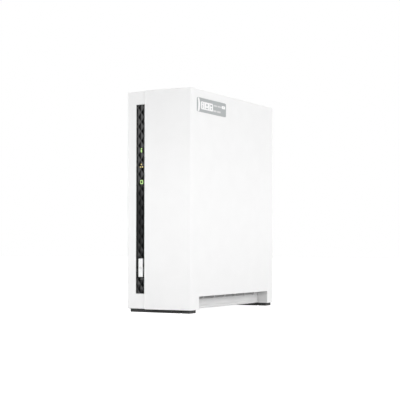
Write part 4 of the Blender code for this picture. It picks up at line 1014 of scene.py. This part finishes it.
def make_board_parts():
    """Capacitors, chokes, chips with legs, resistors and a coin holder on the main board."""
    face = BOARD_HIGH.x
    for i, (y, z) in enumerate([(40, 30), (40, 38), (30, 34), (-48, 60), (20, 98), (12, 98)], 1):
        can = [(0, 0), (3.2, 0), (3.2, 0.8), (2.95, 1.1), (3.2, 1.4), (3.2, 6.6), (2.8, 7.0), (0, 7.0)]
        piece(f"capacitor_{i}", [turned(can, (face + 0.05, y, z), "X", 32)], SCREW_STEEL, "housing")
        sleeve = [(0, 0), (3.24, 0), (3.24, 3.9), (0, 3.9)]
        piece(f"capacitor_{i}_sleeve", [turned(sleeve, (face + 1.5, y, z), "X", 32)], BLACK, "housing")
    parts_on_board("chokes", [(46, 62), (46, 72), (34, 62)], (4.2, 7.0, 7.0), CHIP, edge=0.7)
    parts_on_board("choke_windings", [(46, 62), (46, 72), (34, 62)], (4.35, 4.0, 4.0), COPPER, edge=0.3)
    parts_on_board("regulators", [(30, 48), (22, 48), (-30, 40), (-44, 44)], (1.1, 5.0, 5.0), CHIP)
    parts_on_board("flash_chips", [(-30, 52), (-50, 76), (30, 80)], (1.0, 6.0, 8.0), CHIP)
    legs = []
    for y, z in [(-30, 52), (-50, 76), (30, 80)]:
        legs += [(y + s * 3.6, z - 3.2 + 0.9 * i) for s in (-1, 1) for i in range(8)]
    parts_on_board("chip_legs", legs, (0.35, 1.3, 0.4), SCREW_STEEL, edge=0.05)
    rows = [(random.choice(range(-56, 54, 2)) + random.random(),
             random.choice(range(24, 114, 3)) + random.random()) for _ in range(230)]
    busy = []
    for node, margin in (("processor", 1), ("heat_sink", 2), ("memory_chip", 1), ("coin_cell", 2),
                         ("network_jack", 1), ("usb_socket_1", 1), ("usb_socket_2", 1), ("power_inlet", 1),
                         ("fan_header", 1), ("ribbon_header", 1), ("front_header", 1), ("reset_switch", 1)):
        low, high = span(node)
        busy.append((low.y - margin, high.y + margin, low.z - margin, high.z + margin))
    clear = []
    for y, z in rows:
        free = not any(y0 < y < y1 and z0 < z < z1 for y0, y1, z0, z1 in busy)
        if free and all(math.hypot(y - a, z - b) > 2.2 for a, b in clear):
            clear.append((y, z))
    parts_on_board("small_capacitors", clear[::2], (0.7, 0.9, 1.6), CERAMIC, edge=0.08)
    parts_on_board("small_resistors", clear[1::2], (0.45, 1.6, 0.9), CHIP, edge=0.06)
    low, high = span("coin_cell")
    y, z = (low.y + high.y) / 2, (low.z + high.z) / 2
    ring = [(0, 0.1), (11.6, 0.1), (11.6, 2.6), (11.0, 3.0), (0, 3.0)]
    piece("coin_holder", [turned(ring, (face + 0.02, y, z), "X", 64)], BLACK, "housing",
          cuts=[[rod((face + 0.5, y, z), "X", 6, 10.2, 64)]])
    cell = [(0, 0), (9.6, 0), (10.0, 0.4), (10.0, 3.6), (9.5, 4.1), (0, 4.1)]
    can = turned(cell, (face + 0.35, y, z), "X", 64)
    piece("coin_cell_can", [can], SCREW_STEEL, "housing", ["coin_cell"])
    clip = [box((face + 4.3, y - 3, z - 1.4), (face + 4.7, y + 11.0, z + 1.4)),
            box((face + 0.4, y + 10.6, z - 1.4), (face + 4.7, y + 11.0, z + 1.4))]
    piece("coin_clip", clip, STEEL, "housing", edge=0.12)


def make_sink():
    """Extruded heat sink: a base and nine tall fins."""
    low, high = span("heat_sink")
    plate = box(low, (low.x + 2.0, high.y, high.z))
    count, thick = 9, 1.0
    pitch = (high.y - low.y - thick) / (count - 1)
    starts = [low.y + pitch * i for i in range(count)]
    fins = [box((low.x + 1.5, y, low.z), (high.x, y + thick, high.z)) for y in starts]
    piece("heat_sink_fins", [plate], ANODISED, "housing", ["heat_sink"], joined=[fins], late_edge=0.12)


# ---------------------------------------------------------------- drive

def make_lid():
    """Pressed steel lid with a sunken field, its screws, two round seals and a paper label."""
    outline = rounded(LID_LOW.y, LID_HIGH.y, LID_LOW.z, LID_HIGH.z, 4.0, 6)
    field = rounded(LID_LOW.y + 5, LID_HIGH.y - 5, LID_LOW.z + 22, LID_HIGH.z - 5, 7.0, 8)
    wells = [prism(field, LID_HIGH.x - 0.28, LID_HIGH.x + 1, "X")]
    corners = [(y, z) for z in (LID_LOW.z + 3.2, LID_HIGH.z - 3.2, 92)
               for y in (LID_LOW.y + 3.2, LID_HIGH.y - 3.2)]
    piece("lid_pressing", [prism(outline, LID_LOW.x, LID_HIGH.x - 0.1, "X")], STEEL, "drive_carrier",
          ["drive_lid"], edge=0.25, cuts=[wells], late_edge=0.15)
    head = [(0, -0.2), (2.2, -0.2), (2.2, 0.1), (1.9, 0.32), (1.1, 0.34), (0.9, 0.0), (0, 0.0)]
    heads = [turned(head, (LID_HIGH.x - 0.15, y, z), "X", 24) for y, z in corners]
    piece("lid_screws", heads, DARK_SCREW, "drive_carrier")
    dot = [(0, 0), (4.0, 0), (4.0, 0.1), (0, 0.1)]
    spots = [turned(dot, (LID_HIGH.x - 0.3, SPINDLE.y + 30, 36), "X", 32),
             turned(dot, (LID_HIGH.x - 0.12, -40, 36), "X", 32)]
    piece("lid_seals", spots, PAPER, "drive_carrier")
    low, high = span("drive_label")
    thin = prism(rounded(low.y, high.y, low.z, high.z, 2.0, 5), LID_HIGH.x - 0.26, LID_HIGH.x + 0.1, "X")
    piece("drive_paper", [thin], PAPER, "drive_carrier", ["drive_label"], edge=0.04)
    face = LID_HIGH.x + 0.1
    bars = [(low.y + 4, low.y + 4 + 26 * share, high.z - 8 - 5 * i) for i, share in
            enumerate((0.9, 0.6, 1.0, 0.75, 0.85, 0.5))]
    rows = [box((face - 0.05, a, z), (face + 0.03, b, z + 1.6)) for a, b, z in bars]
    for field in (rounded(low.y + 38, high.y - 4, high.z - 34, high.z - 5, 1.0, 3),
                  rounded(low.y + 4, high.y - 4, low.z + 5, low.z + 16, 1.0, 3)):
        rows.append(prism(field, face - 0.05, face + 0.03, "X"))
    piece("drive_paper_print", rows, LABEL, "drive_carrier")


def make_disc():
    """Mirror platter, and its hub with a clamp ring and six screws."""
    disc = [(12.8, 0.0), (47.1, 0.0), (47.5, 0.3), (47.5, 0.97), (47.1, 1.27), (12.8, 1.27)]

    def ring(bm):
        rows = []
        segments = 160
        matrix = shift(SPINDLE) @ TOWARDS["X"]
        for radius, along in disc:
            rows.append([bm.verts.new(matrix @ Vector((radius * math.cos(2 * math.pi * i / segments),
                                                       radius * math.sin(2 * math.pi * i / segments), along)))
                         for i in range(segments)])
        for near, far in zip(rows, rows[1:] + rows[:1]):
            for i in range(segments):
                j = (i + 1) % segments
                bm.faces.new((near[i], near[j], far[j], far[i]))
        return [v for row in rows for v in row]
    piece("platter_disc", [ring], MIRROR, "drive_spindle", ["platter"])
    hub = [(0, -6.3), (11.8, -6.3), (12.4, -5.7), (12.4, 2.05), (14.6, 2.05), (15.0, 2.4), (15.0, 2.9),
           (14.4, 3.2), (10.0, 3.2), (9.4, 2.8), (5.0, 2.8), (4.4, 3.2), (0, 3.2)]
    turns = [math.pi / 3 * k for k in range(6)]
    ring_places = [(SPINDLE.y + 11.9 * math.cos(a), SPINDLE.z + 11.9 * math.sin(a)) for a in turns]
    screws = [rod((SPINDLE.x + 2.0, y, z), "X", 2, 1.5, 20) for y, z in ring_places]
    piece("spindle_clamp", [turned(hub, SPINDLE, "X", 96)], STEEL, "drive_spindle", ["spindle_hub"],
          cuts=[screws], late_edge=0.08)
    head = [(0, 0), (1.35, 0), (1.35, 0.7), (0.9, 0.95), (0.6, 0.95), (0.5, 0.5), (0, 0.5)]
    heads = [turned(head, (SPINDLE.x + 2.02, y, z), "X", 20) for y, z in ring_places]
    piece("clamp_screws", heads, DARK_SCREW, "drive_spindle")


def make_arm():
    """Pivot barrel, two pierced arms with heads at their tips, and a wound coil in its plastic fork."""
    place_arm = shift((0, PIVOT.y, PIVOT.z)) @ Matrix.Rotation(ARM_PARKED, 4, "X")
    barrel = [(0, 0), (5.7, 0), (6.0, 0.3), (6.0, 11.0), (5.7, 11.3), (4.6, 11.3), (4.4, 10.9), (2.4, 10.9),
              (0, 10.9)]
    taper = [(3.0, -4.3), (20, -3.0), (44, -1.4), (44, 1.4), (20, 3.0), (3.0, 4.3)]
    arms = [moved(prism(taper, x, x + 0.8, "X"), place_arm) for x in (8.0, 11.9)]
    holes = [moved(prism(arc((y, 0), r, 0, 345, 23), 5, 16, "X"), place_arm)
             for y, r in ((12, 2.0), (19, 1.6), (26, 1.2))]
    bore = rod((0, PIVOT.y, PIVOT.z), "X", 20, 2.35, 32)
    piece("actuator_arm", [turned(barrel, (4.55, PIVOT.y, PIVOT.z), "X", 48)], CAST, "drive_arm",
          ["head_arm"], joined=[[arms[0]], [arms[1]]], cuts=[holes, [bore]], late_edge=0.1)
    leaf = [(42, -1.2), (49.6, -0.5), (49.6, 0.5), (42, 1.2)]
    springs = [moved(prism(leaf, x, x + 0.25, "X"), place_arm) for x in (8.15, 12.2)]
    piece("head_suspensions", springs, STEEL, "drive_arm", edge=0.04)
    heads = [moved(box((x, 48.4, -0.6), (x + 0.5, 49.9, 0.6)), place_arm) for x in (8.4, 11.8)]
    piece("read_heads", heads, CHIP, "drive_arm", edge=0.06)
    coil = [(-7.5, -4.9), (-19.4, -7.6), (-19.4, 7.6), (-7.5, 4.9)]
    hole = [(-10.5, -2.4), (-16.4, -4.0), (-16.4, 4.0), (-10.5, 2.4)]
    fork = [(-3.0, -3.8), (-3.0, 3.8), (-8.5, 5.2), (-8.5, -5.2)]
    piece("voice_coil", [moved(prism(coil, 9.35, 10.85, "X"), place_arm)], COPPER, "drive_arm", edge=0.3,
          cuts=[[moved(prism(hole, 8, 12, "X"), place_arm)]])
    piece("coil_fork", [moved(prism(fork, 9.3, 10.9, "X"), place_arm)], BLACK, "drive_arm", edge=0.15,
          cuts=[[bore]])


def make_drive_board_parts():
    """Chips and small parts on the drive's own board, facing the carrier plate."""
    face = span("drive_board")[0].x
    chips = [(-30, 60, 9, 9), (-6, 70, 7, 7), (14, 58, 6, 8), (-40, 80, 4, 6), (8, 84, 10, 4)]
    shapes = [box((face - 0.9, y - w / 2, z - h / 2), (face - 0.02, y + w / 2, z + h / 2))
              for y, z, w, h in chips]
    piece("drive_board_chips", shapes, CHIP, "drive_carrier", edge=0.12)
    spots = [(random.uniform(-56, 28), random.uniform(38, 92)) for _ in range(90)]
    free = [(y, z) for y, z in spots
            if all(abs(y - a) > w / 2 + 1.4 or abs(z - b) > h / 2 + 1.4 for a, b, w, h in chips)]
    small = [box((face - 0.5, y - 0.7, z - 0.4), (face - 0.02, y + 0.7, z + 0.4)) for y, z in free]
    piece("drive_board_small_parts", small, CERAMIC, "drive_carrier", edge=0.06)


# ---------------------------------------------------------------- CAD pieces that stay

KEPT = {
    "main_board": (BOARD, 0.1), "front_board": (FRONT_BOARD, 0.1), "sata_board": (FLAT_BOARD, 0.1),
    "drive_board": (BOARD, 0.1), "processor": (CHIP, 0.15), "memory_chip": (CHIP, 0.12),
    "fan_header": (BLACK, 0.3), "ribbon_header": (BLACK, 0.25), "front_header": (BLACK, 0.3),
    "reset_switch": (CHIP, 0.25), "power_switch": (CHIP, 0.25), "status_lamps": (WHITE_INNER, 0.2),
    "lock_plate": (STEEL, 0.15), "drive_cage": (STEEL, 0.25), "sata_board_frame": (BLACK, 0.25),
    "sata_socket": (BLACK, 0.2), "sata_ribbon": (RIBBON, 0.1), "drive_tray": (STEEL, 0.25),
    "drive_body": (CAST, 0.3), "sata_plug": (BLACK, 0.2), "magnet_yoke": (STEEL, 0.4),
    "arm_pivot_pin": (SCREW_STEEL, 0.2),
}


def dress_kept_nodes():
    for node, (material, edge) in KEPT.items():
        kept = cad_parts[node]
        kept.data.materials.clear()
        kept.data.materials.append(material)
        soften(kept, edge, 2, 60)
        kept.modifiers.new("flat_faces", "WEIGHTED_NORMAL").keep_sharp = True


# ---------------------------------------------------------------- stage
# Metres and watts here, unlike the shapes above.

SKY_LIGHT = 1.405
FLOOR_GLOW = 1.0
DIM_BEARING, GLOSS_DIM, GLOSS_BRIGHT = -75.0, 0.01, 0.9
STRIP_SIZE = (0.42, 0.06)
AIM = 0.09


def make_stage():
    """Plain pale floor that glows, and that other surfaces neither see nor catch light from."""
    floor = new_object("floor", [prism(rounded(-4000, 4000, -4000, 4000, 800, 8), -20, -0.02)])
    pale = bpy.data.materials.new("pale_floor")
    pale.use_nodes = True
    shader = pale.node_tree.nodes["Principled BSDF"]
    shader.inputs["Base Color"].default_value = (0.34, 0.34, 0.34, 1.0)
    shader.inputs["Roughness"].default_value = 0.9
    shader.inputs["Emission Color"].default_value = (1.0, 1.0, 1.0, 1.0)
    shader.inputs["Emission Strength"].default_value = FLOOR_GLOW
    floor.data.materials.append(pale)
    floor.visible_glossy = False
    floor.visible_diffuse = False


def make_surround():
    """White to the eye. As a light it is strongest part-way up, and reflections find it dim on the left."""
    world = bpy.data.worlds.new("studio")
    bpy.context.scene.world = world
    world.use_nodes = True
    tree = world.node_tree
    tree.nodes.clear()
    way = add(tree, "TexCoord").outputs["Generated"]
    height = add(tree, "SeparateXYZ", inputs={"Vector": way}).outputs["Z"]
    level = add(tree, "MapRange", inputs={"Value": height, "From Min": -1.0, "From Max": 1.0})
    sky = ramp(tree, level.outputs[0], [(0.33, grey(0.0)), (0.72, grey(1.0)), (1.0, grey(0.3))], "EASE")
    bearing = math.radians(DIM_BEARING)
    facing = add(tree, "VectorMath", {"operation": "DOT_PRODUCT"},
                 {0: way, 1: (math.sin(bearing), -math.cos(bearing), 0.0)})
    glow = add(tree, "MapRange", {"interpolation_type": "SMOOTHSTEP"},
               {"Value": facing.outputs["Value"], "From Min": 0.25, "From Max": 0.8,
                "To Min": GLOSS_BRIGHT, "To Max": GLOSS_DIM})
    seen = add(tree, "Background", inputs={"Color": (1, 1, 1, 1), "Strength": 1.0})
    lit = add(tree, "Background", inputs={"Color": sky, "Strength": SKY_LIGHT})
    mirrored = add(tree, "Background", inputs={"Color": (1, 1, 1, 1), "Strength": glow.outputs[0]})
    path = add(tree, "LightPath")
    glossy, camera = path.outputs["Is Glossy Ray"], path.outputs["Is Camera Ray"]
    first = add(tree, "MixShader", inputs={0: glossy, 1: lit.outputs[0], 2: mirrored.outputs[0]})
    second = add(tree, "MixShader", inputs={0: camera, 1: first.outputs[0], 2: seen.outputs[0]})
    add(tree, "OutputWorld", inputs={"Surface": second.outputs[0]}).is_active_output = True


def soft_light(name, bearing, distance, height, size, power, tall_aim=None, glossy=False, diffuse=True):
    """Rectangular light at a bearing in degrees to the right of the front, aimed level or at tall_aim."""
    data = bpy.data.lights.new(name, "AREA")
    data.shape = "RECTANGLE"
    data.size, data.size_y = size
    data.energy = power
    made = bpy.data.objects.new(name, data)
    bpy.context.scene.collection.objects.link(made)
    angle = math.radians(bearing)
    made.location = (distance * math.sin(angle), -distance * math.cos(angle), height)
    aim = Vector((0, 0, height if tall_aim is None else tall_aim)) - made.location
    made.rotation_euler = aim.to_track_quat("-Z", "Y").to_euler()
    made.visible_glossy = glossy
    made.visible_diffuse = diffuse
    made.visible_camera = False


def make_lights():
    """A wide low light close to each side, fill from further away, and two that only reflections find."""
    strips = (("front_strip", 0, 0.25, 0.139), ("right_strip", 90, 0.205, 0.086),
              ("rear_strip", 180, 0.25, 0.137), ("left_strip", 270, 0.205, 0.10))
    for name, bearing, distance, power in strips:
        soft_light(name, bearing, distance, 0.08, STRIP_SIZE, power)
    soft_light("right_fill", 60, 1.5, 0.12, (0.5, 0.4), 7.2, AIM)
    soft_light("left_fill", -63, 1.2, 0.12, (0.4, 0.4), 6.6, AIM)
    soft_light("rear_fill", 180, 1.5, 0.12, (0.5, 0.4), 7.0, AIM)
    soft_light("right_high", 90, 0.6, 0.5, (0.4, 0.3), 0.9, AIM)
    soft_light("low_glint", -3, 0.375, 0.090, (0.16, 0.125), 0.10, glossy=True, diffuse=False)
    soft_light("high_glint", -3, 0.375, 0.300, (0.16, 0.155), 0.12, glossy=True, diffuse=False)


def make_camera():
    """The main view: from the front right, a little below the object's middle and looking slightly up."""
    data = bpy.data.cameras.new("camera")
    data.lens = 93.75
    data.sensor_width = 36.0
    camera = bpy.data.objects.new("camera", data)
    camera.location = (0.47425, -0.8172, 0.0548)
    camera.rotation_euler = (math.radians(92.62), 0, math.radians(30.31))
    bpy.context.scene.collection.objects.link(camera)
    bpy.context.scene.camera = camera
    bpy.context.scene.view_settings.view_transform = "Standard"


make_camera()
make_cover()
make_base()
make_filters()
make_rating_panel()
make_label()
make_feet()
make_strip()
make_guides()
make_button()
make_screws()
make_panel()
make_jack()
make_usb()
make_inlet()
make_fan()
make_fan_lead()
make_board_parts()
make_sink()
make_lid()
make_disc()
make_arm()
make_drive_board_parts()
dress_kept_nodes()
make_stage()
make_surround()
make_lights()
